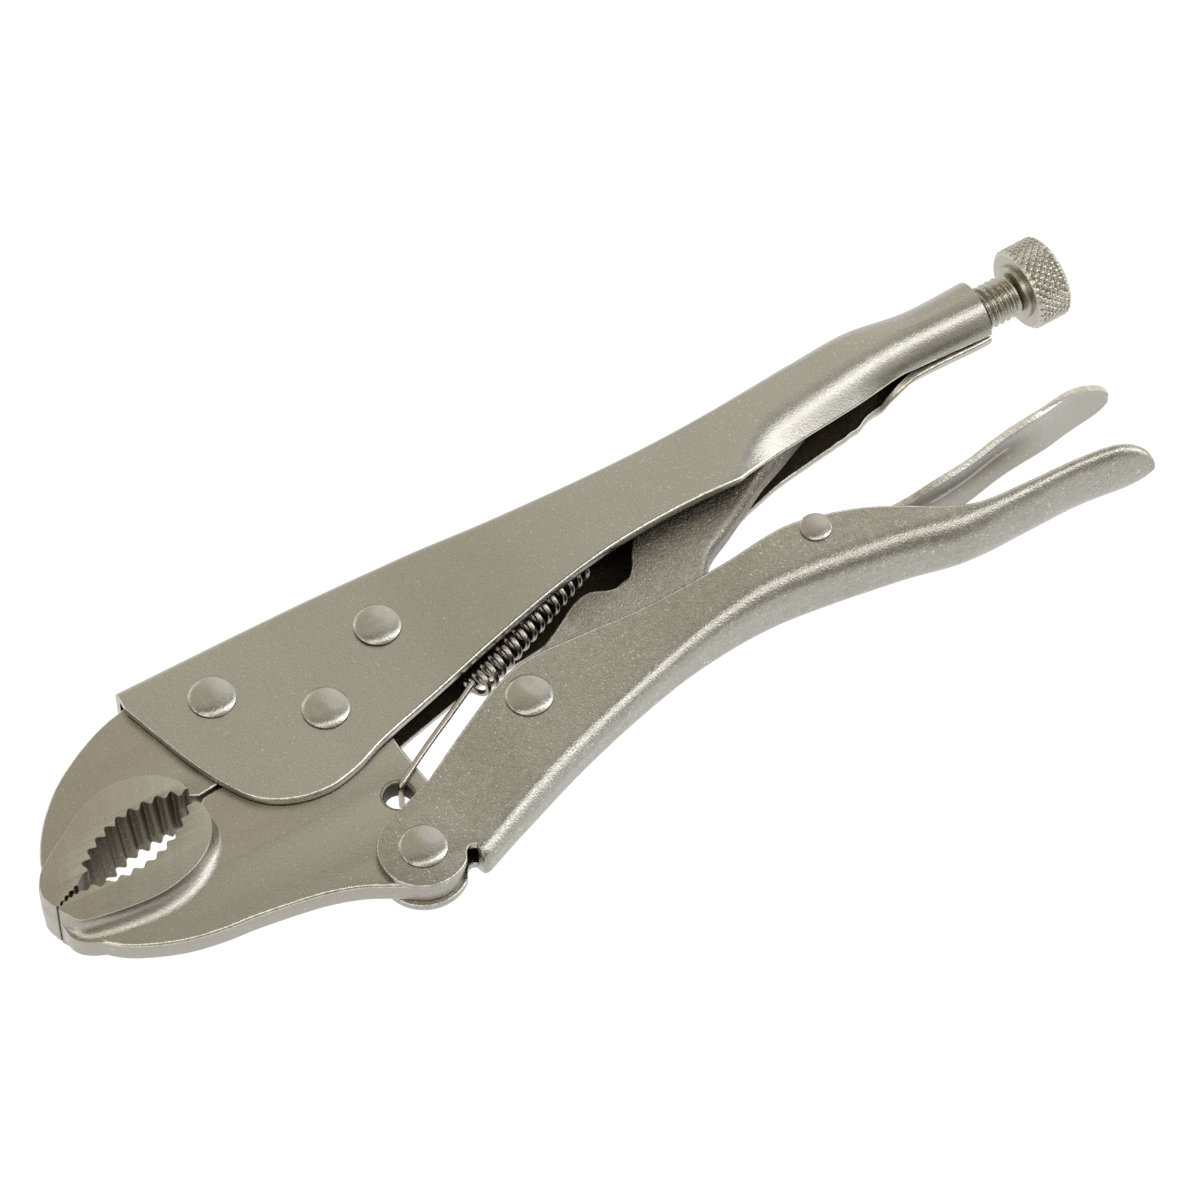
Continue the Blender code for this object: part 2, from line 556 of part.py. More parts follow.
def return_spring():
    """Extension spring from the hole of the moving jaw to the lug inside the upper handle."""
    start = Vector((*SPRING_START, 0.0))
    end = Vector((*SPRING_END, 0.0))
    along = (end - start).normalized()
    side = Vector((-along.y, along.x, 0.0))
    across = Vector((0.0, 0.0, 1.0))
    steps = TURN_STEPS * SPRING_TURNS
    coil = []
    for i in range(steps + 1):
        turn = 2 * math.pi * i / TURN_STEPS
        coil.append(start.lerp(end, i / steps)
                    + SPRING_RADIUS * (math.cos(turn) * across + math.sin(turn) * side))
    hole = (SPRING_HOLE[0] + 1.3, SPRING_HOLE[1] + 1.3)
    over = JAW_HALF + WIRE_RADIUS + 0.2
    leg = [(hole[0], hole[1], -over - 0.6), (hole[0], hole[1], over - 0.9),
           (hole[0] + 0.5, hole[1] + 0.3, over), (9.5, -18.9, over), (14.0, -16.2, over),
           (24.5, -10.0, SPRING_RADIUS)]
    lug = LUG_HALF + WIRE_RADIUS + 0.15
    hook = [(64.0, 8.6, SPRING_RADIUS), (66.6, 9.7, lug + 0.4), (67.4, 10.0, lug), (67.6, 10.0, -lug),
            (67.6, 10.0, -lug - 0.8)]
    path = [Vector(p) for p in leg] + coil + [Vector(p) for p in hook]
    return finish(place("return_spring", wire(path, WIRE_RADIUS, 5)), (0.30, 0.29, 0.27), 0.30)


def rivet(name, centre, half, shank, head, dome, pivot=JAW_PIVOT):
    """A rivet with a low domed head on each side of the sheets that it holds."""
    seat = half + 0.08
    rise = [(head, seat), (head, seat + 0.25), (head * 0.7, seat + dome * 0.8), (0.0, seat + dome)]
    profile = [(r, -z) for r, z in reversed(rise)] + [(shank, -seat), (shank, seat)] + rise
    return finish(place(name, turned(profile, centre, 18), pivot), (0.58, 0.56, 0.50), 0.25)


def build():
    for thing in list(bpy.data.objects):
        bpy.data.objects.remove(thing)
    upper_handle()
    fixed_jaw()
    movable_jaw()
    lower_handle()
    toggle_link()
    release_lever()
    adjusting_screw()
    return_spring()
    front = value_at(UPPER_HALF, 0)
    rear = value_at(UPPER_HALF, REAR_RIVET[0] + RIVET_HEAD)
    middle = value_at(LOWER_HALF, LINK_PIVOT[0] + RIVET_HEAD)
    tail = value_at(LOWER_HALF, LEVER_PIVOT[0] + SMALL_HEAD)
    rivet("fixed_jaw_front_rivet", FRONT_RIVET, front, RIVET_SHANK, RIVET_HEAD, RIVET_DOME)
    rivet("fixed_jaw_rear_rivet", REAR_RIVET, rear, RIVET_SHANK, RIVET_HEAD, RIVET_DOME)
    rivet("jaw_pivot_rivet", JAW_PIVOT, value_at(UPPER_HALF, RIVET_HEAD), RIVET_SHANK, RIVET_HEAD, RIVET_DOME)
    rivet("lower_handle_pivot_rivet", HANDLE_PIVOT, EAR_OUTER, RIVET_SHANK, RIVET_HEAD, RIVET_DOME,
          HANDLE_PIVOT)
    rivet("toggle_link_rivet", LINK_PIVOT, middle, RIVET_SHANK, RIVET_HEAD, RIVET_DOME, HANDLE_PIVOT)
    rivet("release_lever_rivet", LEVER_PIVOT, tail, SMALL_SHANK, SMALL_HEAD, SMALL_DOME, HANDLE_PIVOT)


build()
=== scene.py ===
"""Looks for the locking pliers: each CAD node gets a finer piece of pressed, forged or turned plated steel.

Outlines are in millimetres from the jaw pivot's centre: X towards the screw, Y towards the upper handle's
crown, Z across the tool from its middle plane. to_world() turns them into metres in the shared frame.
"""

import math

import bmesh
import bpy
import numpy as np
from mathutils import Matrix, Vector, geometry, kdtree


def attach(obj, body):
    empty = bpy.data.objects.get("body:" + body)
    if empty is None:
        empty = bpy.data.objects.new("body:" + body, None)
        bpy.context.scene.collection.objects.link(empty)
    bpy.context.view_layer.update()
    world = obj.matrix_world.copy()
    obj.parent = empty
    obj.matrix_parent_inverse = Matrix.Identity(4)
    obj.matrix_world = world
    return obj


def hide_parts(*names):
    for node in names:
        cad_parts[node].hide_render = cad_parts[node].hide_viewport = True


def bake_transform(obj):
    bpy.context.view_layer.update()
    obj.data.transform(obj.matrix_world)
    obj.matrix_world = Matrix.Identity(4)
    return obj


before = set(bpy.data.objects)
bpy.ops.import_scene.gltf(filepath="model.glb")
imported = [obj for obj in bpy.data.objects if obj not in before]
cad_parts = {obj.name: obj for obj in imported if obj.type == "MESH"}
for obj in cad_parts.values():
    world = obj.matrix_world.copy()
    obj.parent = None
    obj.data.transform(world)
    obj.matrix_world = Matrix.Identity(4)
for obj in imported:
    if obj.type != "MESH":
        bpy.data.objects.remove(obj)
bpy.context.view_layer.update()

MM = 0.001
ORIGIN = np.array((-56.37, 6.87, 8.9))

# hinge and rivet centres
JAW_PIVOT = (0.0, 0.0)
HANDLE_PIVOT = (1.6, -36.7)
LINK_PIVOT = (35.6, -17.2)
LEVER_PIVOT = (103.3, -12.1)
FRONT_RIVET = (-18.1, 13.1)
REAR_RIVET = (17.7, 11.8)
SPRING_HOLE = (3.4, -23.2)
SPRING_START = (28.3, -7.6)
SPRING_END = (60.6, 7.6)

# sheet, plate, rivet and screw sizes
SHEET = 1.85
JAW_HALF = 2.65
PAD_HALF = 6.4
PAD_EDGE = 0.12
PAD_SINK = 0.12
HOLE_RADIUS = 2.75
SPRING_HOLE_RADIUS = 2.8
SCREW_POINT = (154.0, 21.55)
SCREW_RISE = 3.2
THREAD_RADIUS = 4.65
THREAD_DEPTH = 0.75
THREAD_PITCH = 1.5
HEAD_RADIUS = 8.9
ROD_START, ROD_END = -22.8, 16.9
KNURL_START, KNURL_END = 18.7, 25.4
KNURLS_ROUND = 30
KNURL_CELLS = 10

# spring and rivet sizes
COIL_TURNS = 14
COIL_RADIUS = 2.45
WIRE_RADIUS = 0.62
RIVET_SHANK, RIVET_HEAD, RIVET_DOME = 2.5, 4.75, 1.55
LEVER_SHANK, LEVER_HEAD, LEVER_DOME = 1.6, 3.2, 1.0

# upper handle along X: crown height, lip height, half width, crown corner's radius, then how the near lip
# turns under (radius, angle, flat part) and how the far one does; the far lip also hangs lower by FAR_HANG
UPPER_CROWN = [(-34, 23.9), (5, 24.8), (28, 24.3), (49.5, 22.6), (73.3, 22.1), (97.3, 23.4), (119.8, 26.8),
               (134, 28.9), (148, 28.1), (162, 28.9)]
UPPER_LIP = [(-33.8, 18.6), (-31.8, 12.3), (-28.6, 2.6), (-25.5, -4.5), (-21.3, -11.0), (-15.5, -14.8),
             (-8, -16.2), (-1, -14.8), (6, -11.9), (18, -8.2), (35.8, -2.9), (53.5, 1.7), (67.3, 4.3),
             (83.3, 5.6), (96.3, 5.5), (99.5, 6.4), (107, 8.6), (115.4, 10.1), (127.4, 12.1), (138.6, 14.5),
             (144, 15.0), (162, 15.1)]
UPPER_HALF = [(-34, 4.7), (-5, 4.7), (0, 4.7), (22, 5.15), (36, 6.1), (50, 7.0), (64, 7.5), (84, 7.7),
              (100, 7.7), (114, 7.5), (134, 7.1), (146, 6.9), (162, 6.9)]
UPPER_CORNER = [(-34, 2.15), (95, 2.3), (114, 3.6), (132, 5.6), (146, 6.9), (162, 6.9)]
UPPER_ROLL = [(-34, 3.0), (86, 3.0), (93, 6.0), (100, 9.0), (107, 10.0), (115, 9.6), (127, 8.4), (136, 7.2),
              (144, 6.7), (162, 6.8)]
UPPER_BEND = [(-34, 0.0), (87, 0.0), (92, 5.0), (97, 13.0), (101, 22.0), (106, 31.0), (112, 36.0),
              (118, 39.0), (127, 43.0), (134, 54.0), (140, 72.0), (144, 84.0), (162, 88.0)]
UPPER_SLANT = [(-34, 0.05), (90, 0.05), (96, 1.6), (101, 2.7), (106, 3.3), (115, 3.4), (127, 3.6), (134, 2.8),
               (141, 0.6), (145, 0.05), (162, 0.05)]
FAR_BEND = [(-34, 0.0), (98, 0.0), (112, 6.0), (128, 12.0), (134, 28.0), (139, 60.0), (144, 82.0),
            (162, 88.0)]
FAR_ROLL = [(-34, 3.0), (98, 3.0), (128, 5.0), (138, 6.4), (144, 6.8), (162, 6.8)]
FAR_HANG = [(-34, 0.0), (22, 0.0), (34, 0.8), (41, 2.2), (48, 2.8), (60, 2.4), (72, 0.8), (84, 0.5),
            (128, 0.5), (136, 0.5), (146, 0.5), (158, 0.4), (162, 0.2)]
BURR_PLACE = 131.5

# lower handle along X: near edge, back, half width, and its corner: high by LOWER_CORNER, wide by LOWER_ROUND
LOWER_EDGE = [(10.8, -23.3), (17.5, -19.3), (26, -14.6), (33, -11.1), (40, -9.4), (52, -9.7), (66, -10.5),
              (83.4, -10.1), (97.3, -8.6), (104.4, -9.5), (113.5, -12.2), (120.7, -15.7), (127.8, -19.8),
              (135, -22.5), (146, -23.0), (158, -23.1), (167, -24.1), (173, -26.2)]
LOWER_BACK = [(10.8, -45.0), (22, -40.1), (38, -33.5), (55, -27.7), (70, -23.8), (86.6, -21.8),
              (100.6, -22.7), (116.4, -25.0), (130, -27.8), (144, -27.4), (157, -26.9), (173, -28.6)]
LOWER_HALF = [(10.8, 4.6), (18, 4.7), (28, 5.2), (40, 5.3), (52, 5.4), (64, 5.8), (76, 6.7), (88, 7.6),
              (98, 7.75), (124, 7.8), (140, 7.6), (160, 7.4)]
LOWER_CORNER = [(10.8, 3.4), (30, 3.8), (60, 3.3), (76, 4.0), (90, 4.8), (110, 5.2), (130, 5.4), (160, 5.4)]
LOWER_ROUND = [(10.8, 3.4), (30, 3.8), (60, 3.3), (76, 4.0), (90, 4.8), (110, 5.2), (128, 6.6), (160, 7.0)]
TAIL_START, TAIL_END = 164.5, 173.3
EAR_RADIUS = 8.9
EAR_INNER = 2.78
EAR_OUTER = 4.58

# jaws
HUB_RADIUS = 9.5
JAW_EAR_RADIUS = 8.0
MOUTH_TEETH = 10
TOOTH_DEPTH = 1.4
TIP_TEETH = 5
TIP_DEPTH = 0.4
MOUTH_LEAN = 2.0
FIXED_NOSE = [(-64.6, -7.5), (-62.9, -1.6), (-59.2, 4.6), (-53.5, 10.7), (-47.0, 15.2), (-40.0, 18.7),
              (-33.3, 20.7)]
FIXED_HEEL = [(-31, 21.6), (20, 22.0), (23.5, 20.0), (25.0, 12.0), (24.0, 6.5), (20.5, 4.2), (12.5, 4.0)]
FIXED_THROAT = [(-24.0, -3.6), (-30.0, -4.4), (-34.5, -2.2), (-42.0, 1.2), (-50.0, -0.6), (-58.0, -5.5),
                (-62.5, -9.0)]
MOVABLE_REAR = [(10.1, -27.0), (10.1, -22.7), (9.1, -13.8)]
MOVABLE_THROAT = [(-13.0, -3.9), (-24.0, -4.3), (-29.7, -5.0), (-32.6, -7.6), (-36.5, -14.2),
                  (-44.0, -18.8), (-55.0, -18.4), (-62.3, -18.2)]
UPPER_MOUTH = [(-58.6, -11.6), (-56.9, -8.6), (-53.8, -6.2), (-49.8, -4.0), (-45.2, -2.7), (-40.8, -2.4),
               (-36.3, -2.8), (-32.4, -4.0)]
UPPER_TIP = [(-65.7, -15.3), (-62.5, -13.6), (-59.5, -12.4)]
UPPER_PAD_BACK = [(-32.0, -4.2), (-32.8, -1.2), (-36.6, 2.3), (-41.6, 4.0), (-47.0, 3.8), (-52.5, 1.8),
                  (-57.5, -1.5), (-62.3, -4.6), (-65.4, -7.4), (-66.9, -11.2), (-66.2, -14.4), (-65.8, -15.2)]
MOVABLE_BOTTOM = [(-63.4, -21.6), (-58.2, -26.6), (-53.0, -29.5), (-46.5, -31.9), (-39.5, -33.2),
                  (-32.0, -33.8), (-20.4, -35.5), (-12.8, -37.7), (-7.0, -40.6)]
LOWER_MOUTH = [(-32.4, -7.1), (-34.8, -9.4), (-38.2, -12.1), (-42.0, -14.2), (-46.2, -15.4), (-50.5, -15.8),
               (-55.0, -15.5), (-59.2, -14.7)]
LOWER_TIP = [(-59.7, -14.4), (-62.9, -14.8), (-65.7, -15.8)]
LOWER_PAD_BACK = [(-65.6, -16.0), (-64.6, -17.8), (-63.1, -20.0), (-59.5, -21.1), (-53.6, -22.0),
                  (-47.4, -22.3), (-42.0, -21.4), (-37.2, -19.4), (-33.4, -16.3), (-31.3, -12.3),
                  (-31.1, -8.8), (-32.0, -7.4)]

# the hollow round each pad: how far it sweeps out, from the first point of the pad's back to the last
FIXED_FLARE = [(0.0, 0.2), (0.12, 0.5), (0.5, 0.6), (0.66, 0.8), (0.76, 0.3), (0.84, 0.1), (1.0, 0.05)]
MOVABLE_FLARE = [(0.0, 0.05), (0.12, 1.6), (0.3, 3.6), (0.55, 4.0), (0.75, 2.4), (0.9, 0.6), (1.0, 0.1)]

# toggle link
LINK_SHEET = 1.6
LINK_HALF = 3.2
LINK_CORNER = 1.9
LINK_EAR = 6.3
LINK_EDGE = [(45, -7.0), (50, -4.1), (54, -1.7), (58, -0.6), (62.5, -2.2), (66, -1.9), (68.5, 0.3),
             (70.6, 4.0), (74, 8.0), (82, 11.5), (96, 16.0), (112, 20.5), (122, 22.6), (126.3, 21.9)]
LINK_BACK = [(45, -20.6), (60, -17.0), (72, -14.5), (78, -12.2), (80.8, -8.0), (84, -4.3), (90, -0.9),
             (96, 2.6), (102, 6.2), (108, 8.9), (116, 12.8), (126.3, 17.6)]

# release lever
LEVER_SHEET = 1.4
LEVER_PAD, LEVER_END = 159.0, 174.3
LEVER_HOLE_RADIUS = 1.85
LEVER_BACK = [(76, -18.3), (84, -17.2), (92, -13.6), (98, -11.2), (104, -10.5), (111.5, -12.0),
              (119.3, -12.9), (129.2, -13.2), (137.4, -12.2), (147.6, -9.9), (157.7, -8.6), (166, -7.5),
              (174, -8.0)]
LEVER_EDGE = [(76, -19.8), (84, -18.9), (90, -18.0), (100, -17.0), (110, -15.8), (118, -15.2),
              (124, -15.1), (130, -14.9), (138, -13.9), (148, -11.7), (158, -10.4), (166, -9.3), (174, -9.8)]
LEVER_WIDTH = [(76, 3.2), (88, 4.2), (98, 5.2), (108, 5.5), (122, 5.7), (130, 7.2), (140, 7.2), (174, 7.2)]


def to_world(points):
    return (np.asarray(points, float) + ORIGIN) * MM


def smooth_line(points, per_span):
    """A Catmull-Rom curve through 2-D or 3-D points."""
    p = [np.array(q, float) for q in points]
    ring = [2 * p[0] - p[1]] + p + [2 * p[-1] - p[-2]]
    line = []
    for i in range(1, len(ring) - 2):
        a, b, c, d = ring[i - 1], ring[i], ring[i + 1], ring[i + 2]
        for step in range(per_span):
            t = step / per_span
            line.append(0.5 * (2 * b + (c - a) * t + (2 * a - 5 * b + 4 * c - d) * t * t
                               + (3 * b - 3 * c + d - a) * t ** 3))
    line.append(p[-1])
    return [tuple(q) for q in line]


def value_at(table, x):
    """The smooth curve through the table's points, at x."""
    if x <= table[0][0]:
        return table[0][1]
    if x >= table[-1][0]:
        return table[-1][1]
    k = next(i for i in range(len(table) - 1) if table[i + 1][0] >= x)
    (x0, y0), (x1, y1) = table[k], table[k + 1]
    span = x1 - x0
    before = (y1 - table[k - 1][1]) / (x1 - table[k - 1][0]) if k else (y1 - y0) / span
    after = (table[k + 2][1] - y0) / (table[k + 2][0] - x0) if k + 2 < len(table) else (y1 - y0) / span
    t = (x - x0) / span
    return ((2 * t ** 3 - 3 * t * t + 1) * y0 + (t ** 3 - 2 * t * t + t) * span * before
            + (3 * t * t - 2 * t ** 3) * y1 + (t ** 3 - t * t) * span * after)


def slope_factor(table, x):
    """How much longer a step along the table's curve is than its run in X."""
    return math.hypot(1.0, value_at(table, x + 0.5) - value_at(table, x - 0.5))


def share(x, low, high):
    """A smooth step from 0 at low to 1 at high."""
    t = min(1.0, max(0.0, (x - low) / (high - low)))
    return t * t * (3 - 2 * t)


def arc(centre, radius, start, end, steps):
    turn = [math.radians(start + (end - start) * i / steps) for i in range(steps + 1)]
    return [(centre[0] + radius * math.cos(a), centre[1] + radius * math.sin(a)) for a in turn]


def circle(centre, radius, sides=64):
    return arc(centre, radius, 0, 360, sides)[:-1]


def even_line(points, count):
    line = np.array(smooth_line(points, 12))
    length = np.concatenate([[0], np.cumsum(np.linalg.norm(np.diff(line, axis=0), axis=1))])
    goal = np.linspace(0, length[-1], count + 1)
    return [tuple(np.interp(g, length, line[:, k]) for k in range(line.shape[1])) for g in goal]


class Shape:
    """Vertices, faces, wear at each vertex (1 on worn edges) and a material slot for each face."""

    def __init__(self):
        self.points, self.wear, self.faces, self.slots = [], [], [], []

    def rings(self, rings, wear=None, slots=None, caps=(True, True), cap_slot=0):
        """A skin over rings of equal length; wear and slots are given by ring and point."""
        start = len(self.points)
        size = len(rings[0])
        for r, ring in enumerate(rings):
            for k, p in enumerate(ring):
                self.points.append(p)
                self.wear.append(wear(r, k) if wear else 0.0)
        for r in range(len(rings) - 1):
            for k in range(size):
                j = (k + 1) % size
                a = start + r * size
                self.faces.append((a + k, a + j, a + size + j, a + size + k))
                self.slots.append(slots(k) if slots else 0)
        for end, used in zip((0, len(rings) - 1), caps):
            if used:
                flat = [Vector(p) for p in rings[end]]
                a = start + end * size
                for tri in geometry.tessellate_polygon([flat]):
                    self.faces.append(tuple(a + i for i in tri))
                    self.slots.append(cap_slot)

    def plate(self, loops, low, high, edge, steps=3, hole_slot=0):
        """A flat plate with rounded edges; the first loop is its outline and the others are holes."""
        profile = []
        for i in range(steps + 1):
            a = math.radians(90.0 * i / steps)
            profile.append((edge * (1 - math.sin(a)), low + edge * (1 - math.cos(a))))
        profile += [(inset, low + high - z) for inset, z in reversed(profile)]
        caps = ([], [])
        for number, loop in enumerate(loops):
            outward = loop_normals(loop) * (1 if number == 0 else -1)
            flat = np.array(loop, float)
            first = len(self.points)
            size = len(loop)
            for row, (inset, z) in enumerate(profile):
                ring = flat - outward * inset
                for p in ring:
                    self.points.append((p[0], p[1], z))
                    self.wear.append(0.8 if 0 < min(row, len(profile) - 1 - row) < steps else 0.0)
            for row in range(len(profile) - 1):
                for k in range(size):
                    j = (k + 1) % size
                    a = first + row * size
                    self.faces.append((a + k, a + j, a + size + j, a + size + k))
                    self.slots.append(hole_slot if number else 0)
            top = first + (len(profile) - 1) * size
            caps[0].append([(self.points[first + k], first + k) for k in range(size)])
            caps[1].append([(self.points[top + k], top + k) for k in range(size)])
        for cap in caps:
            flat = [[Vector(p) for p, _ in loop] for loop in cap]
            index = [i for loop in cap for _, i in loop]
            for tri in geometry.tessellate_polygon(flat):
                self.faces.append(tuple(index[i] for i in tri))
                self.slots.append(0)


def loop_normals(loop):
    """Outward unit-step vectors at the points of a closed 2-D loop, mitred at corners."""
    p = np.array(loop, float)[:, :2]
    area = 0.5 * np.sum(p[:, 0] * np.roll(p[:, 1], -1) - np.roll(p[:, 0], -1) * p[:, 1])
    step = np.roll(p, -1, axis=0) - p
    step /= np.maximum(np.linalg.norm(step, axis=1), 1e-9)[:, None]
    normal = np.stack([step[:, 1], -step[:, 0]], axis=1) * (1 if area > 0 else -1)
    both = normal + np.roll(normal, 1, axis=0)
    size = np.maximum(np.linalg.norm(both, axis=1), 1e-6)
    both /= size[:, None]
    return both / np.maximum(np.sum(both * normal, axis=1), 0.5)[:, None]


def make_piece(name, shape, body, nodes, materials, painted_shade_at=None):
    """The finished mesh, riding on its body; the last argument, if given, gives the painted shade at each
    point, from its place in millimetres.
    """
    points = to_world(shape.points)
    mesh = bpy.data.meshes.new(name)
    mesh.from_pydata([tuple(p) for p in points], [], shape.faces)
    wear = mesh.attributes.new("wear", "FLOAT", "POINT")
    wear.data.foreach_set("value", np.array(shape.wear, float))
    # the painted shade at each point, kept as a point attribute
    if painted_shade_at:
        painted_shade = mesh.attributes.new("painted_shade", "FLOAT", "POINT")
        painted_shade.data.foreach_set("value", np.array([painted_shade_at(*p) for p in shape.points], float))
    mesh.polygons.foreach_set("material_index", np.array(shape.slots, int))
    mesh.validate()
    bm = bmesh.new()
    bm.from_mesh(mesh)
    bmesh.ops.recalc_face_normals(bm, faces=bm.faces)
    bm.to_mesh(mesh)
    bm.free()
    mesh.shade_smooth()
    mesh.set_sharp_from_angle(angle=math.radians(38))
    for material in materials:
        mesh.materials.append(material)
    piece = bpy.data.objects.new(name, mesh)
    bpy.context.scene.collection.objects.link(piece)
    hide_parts(*nodes)
    if body:
        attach(piece, body)
    return piece


# ---------------------------------------------------------------- materials

def plated_metal(name, base, rough, grain=1.0, speck=0.5, streak=0.0, bumpy=1.0, edge=(0.62, 0.60, 0.54)):
    """Satin nickel plate: fine grain, sparse bright specks, faint clouding, worn edges, and painted shade:
    dark brown mixed in by a per-point attribute.
    """
    material = bpy.data.materials.new(name)
    material.use_nodes = True
    tree = material.node_tree
    nodes, links = tree.nodes, tree.links
    shader = nodes["Principled BSDF"]
    shader.inputs["Metallic"].default_value = 1.0
    place = nodes.new("ShaderNodeTexCoord")

    def noise_node(scale, detail=2.0, roughness=0.5):
        node = nodes.new("ShaderNodeTexNoise")
        node.inputs["Scale"].default_value = scale
        node.inputs["Detail"].default_value = detail
        node.inputs["Roughness"].default_value = roughness
        links.new(place.outputs["Object"], node.inputs["Vector"])
        return node.outputs["Fac"]

    def span(value, low, high, out_low, out_high):
        node = nodes.new("ShaderNodeMapRange")
        node.inputs["From Min"].default_value = low
        node.inputs["From Max"].default_value = high
        node.inputs["To Min"].default_value = out_low
        node.inputs["To Max"].default_value = out_high
        links.new(value, node.inputs["Value"])
        return node.outputs["Result"]

    def sums(kind, one, two):
        node = nodes.new("ShaderNodeMath")
        node.operation = kind
        for socket, value in zip(node.inputs, (one, two)):
            if isinstance(value, float):
                socket.default_value = value
            else:
                links.new(value, socket)
        return node.outputs["Value"]

    fine = noise_node(2600.0, 2.0, 0.6)
    middle = noise_node(700.0, 3.0, 0.6)
    cloud = noise_node(42.0, 3.0, 0.55)
    sparkle = noise_node(1900.0, 1.0, 0.4)
    tone = sums("MULTIPLY", span(fine, 0.3, 0.7, 1.0 - 0.03 * grain, 1.0 + 0.03 * grain),
                span(cloud, 0.3, 0.7, 0.975, 1.025))
    tone = sums("MULTIPLY", tone, span(middle, 0.3, 0.7, 1.0 - 0.02 * grain, 1.0 + 0.02 * grain))
    if streak:
        lines = nodes.new("ShaderNodeTexNoise")
        lines.inputs["Scale"].default_value = 1.0
        lines.inputs["Detail"].default_value = 3.0
        stretch = nodes.new("ShaderNodeMapping")
        stretch.vector_type = "TEXTURE"
        stretch.inputs["Rotation"].default_value = (0.0, 0.0, math.radians(65))
        stretch.inputs["Scale"].default_value = (0.03, 0.0009, 0.03)
        links.new(place.outputs["Object"], stretch.inputs["Vector"])
        links.new(stretch.outputs["Vector"], lines.inputs["Vector"])
        tone = sums("MULTIPLY", tone, span(lines.outputs["Fac"], 0.3, 0.7, 1.0 - streak, 1.0 + streak))
    specks = span(sparkle, 0.66, 0.74, 0.0, speck)
    wear = nodes.new("ShaderNodeAttribute")
    wear.attribute_name = "wear"
    worn = sums("MULTIPLY", wear.outputs["Fac"], span(middle, 0.35, 0.6, 0.45, 1.0))
    bright = sums("MAXIMUM", worn, specks)
    # painted shade: the per-point attribute mixes the base colour towards a dark brown
    painted_shade = nodes.new("ShaderNodeAttribute")
    painted_shade.attribute_name = "painted_shade"
    painted_shade_mix = nodes.new("ShaderNodeMix")
    painted_shade_mix.data_type = "RGBA"
    links.new(painted_shade.outputs["Fac"], painted_shade_mix.inputs["Factor"])
    painted_shade_mix.inputs[6].default_value = (*base, 1.0)
    painted_shade_mix.inputs[7].default_value = (0.08, 0.06, 0.035, 1.0)
    shade = nodes.new("ShaderNodeVectorMath")
    shade.operation = "SCALE"
    links.new(painted_shade_mix.outputs[2], shade.inputs[0])
    links.new(tone, shade.inputs["Scale"])
    colour = nodes.new("ShaderNodeMix")
    colour.data_type = "RGBA"
    links.new(bright, colour.inputs["Factor"])
    links.new(shade.outputs["Vector"], colour.inputs[6])
    colour.inputs[7].default_value = (*edge, 1.0)
    links.new(colour.outputs[2], shader.inputs["Base Color"])
    dull = sums("ADD", span(middle, 0.3, 0.7, rough - 0.05, rough + 0.05), span(cloud, 0.3, 0.7, -0.03, 0.03))
    links.new(sums("SUBTRACT", dull, sums("MULTIPLY", bright, 0.10)), shader.inputs["Roughness"])
    bump = nodes.new("ShaderNodeBump")
    bump.inputs["Strength"].default_value = 1.0
    bump.inputs["Distance"].default_value = 0.00006 * bumpy
    links.new(sums("ADD", fine, sums("MULTIPLY", middle, 0.3)), bump.inputs["Height"])
    links.new(bump.outputs["Normal"], shader.inputs["Normal"])
    return material


sheet_metal = plated_metal("sheet_plate", (0.38, 0.365, 0.32), 0.27)
grip_metal = plated_metal("grip_plate", (0.35, 0.336, 0.295), 0.22, grain=5.0, speck=0.9, bumpy=1.6)
# painted shade: a near-black, rougher copy of the plate for the insides of the channels and the walls of the
# jaw's holes, which lie in shade
shaded_inner_metal = plated_metal("shaded_inner_plate", (0.075, 0.062, 0.042), 0.50, edge=(0.35, 0.31, 0.25))
jaw_metal = plated_metal("jaw_plate", (0.355, 0.337, 0.290), 0.28, grain=1.0)
tooth_metal = plated_metal("tooth_plate", (0.155, 0.135, 0.10), 0.42, grain=4.0, bumpy=2.0,
                           edge=(0.42, 0.38, 0.30))
ground_metal = plated_metal("ground_plate", (0.37, 0.352, 0.302), 0.28, grain=0.8, speck=0.2, streak=0.05)
rivet_metal = plated_metal("rivet_plate", (0.40, 0.388, 0.35), 0.22, grain=0.8, speck=0.3)
link_metal = plated_metal("link_plate", (0.36, 0.342, 0.30), 0.42, grain=6.0, speck=0.9, bumpy=3.5)
lever_metal = plated_metal("lever_plate", (0.39, 0.375, 0.33), 0.28)
screw_metal = plated_metal("screw_plate", (0.42, 0.395, 0.34), 0.26, grain=0.6, speck=0.3)
spring_metal = plated_metal("spring_wire", (0.38, 0.35, 0.31), 0.26, grain=0.4, speck=0.1)


# ---------------------------------------------------------------- pressed sheet

LIP_ROUND = 0.62
CORNER_STEPS = 9
BEND_STEPS = 10
FLAT_STEPS = 4
SLANT_STEPS = 4


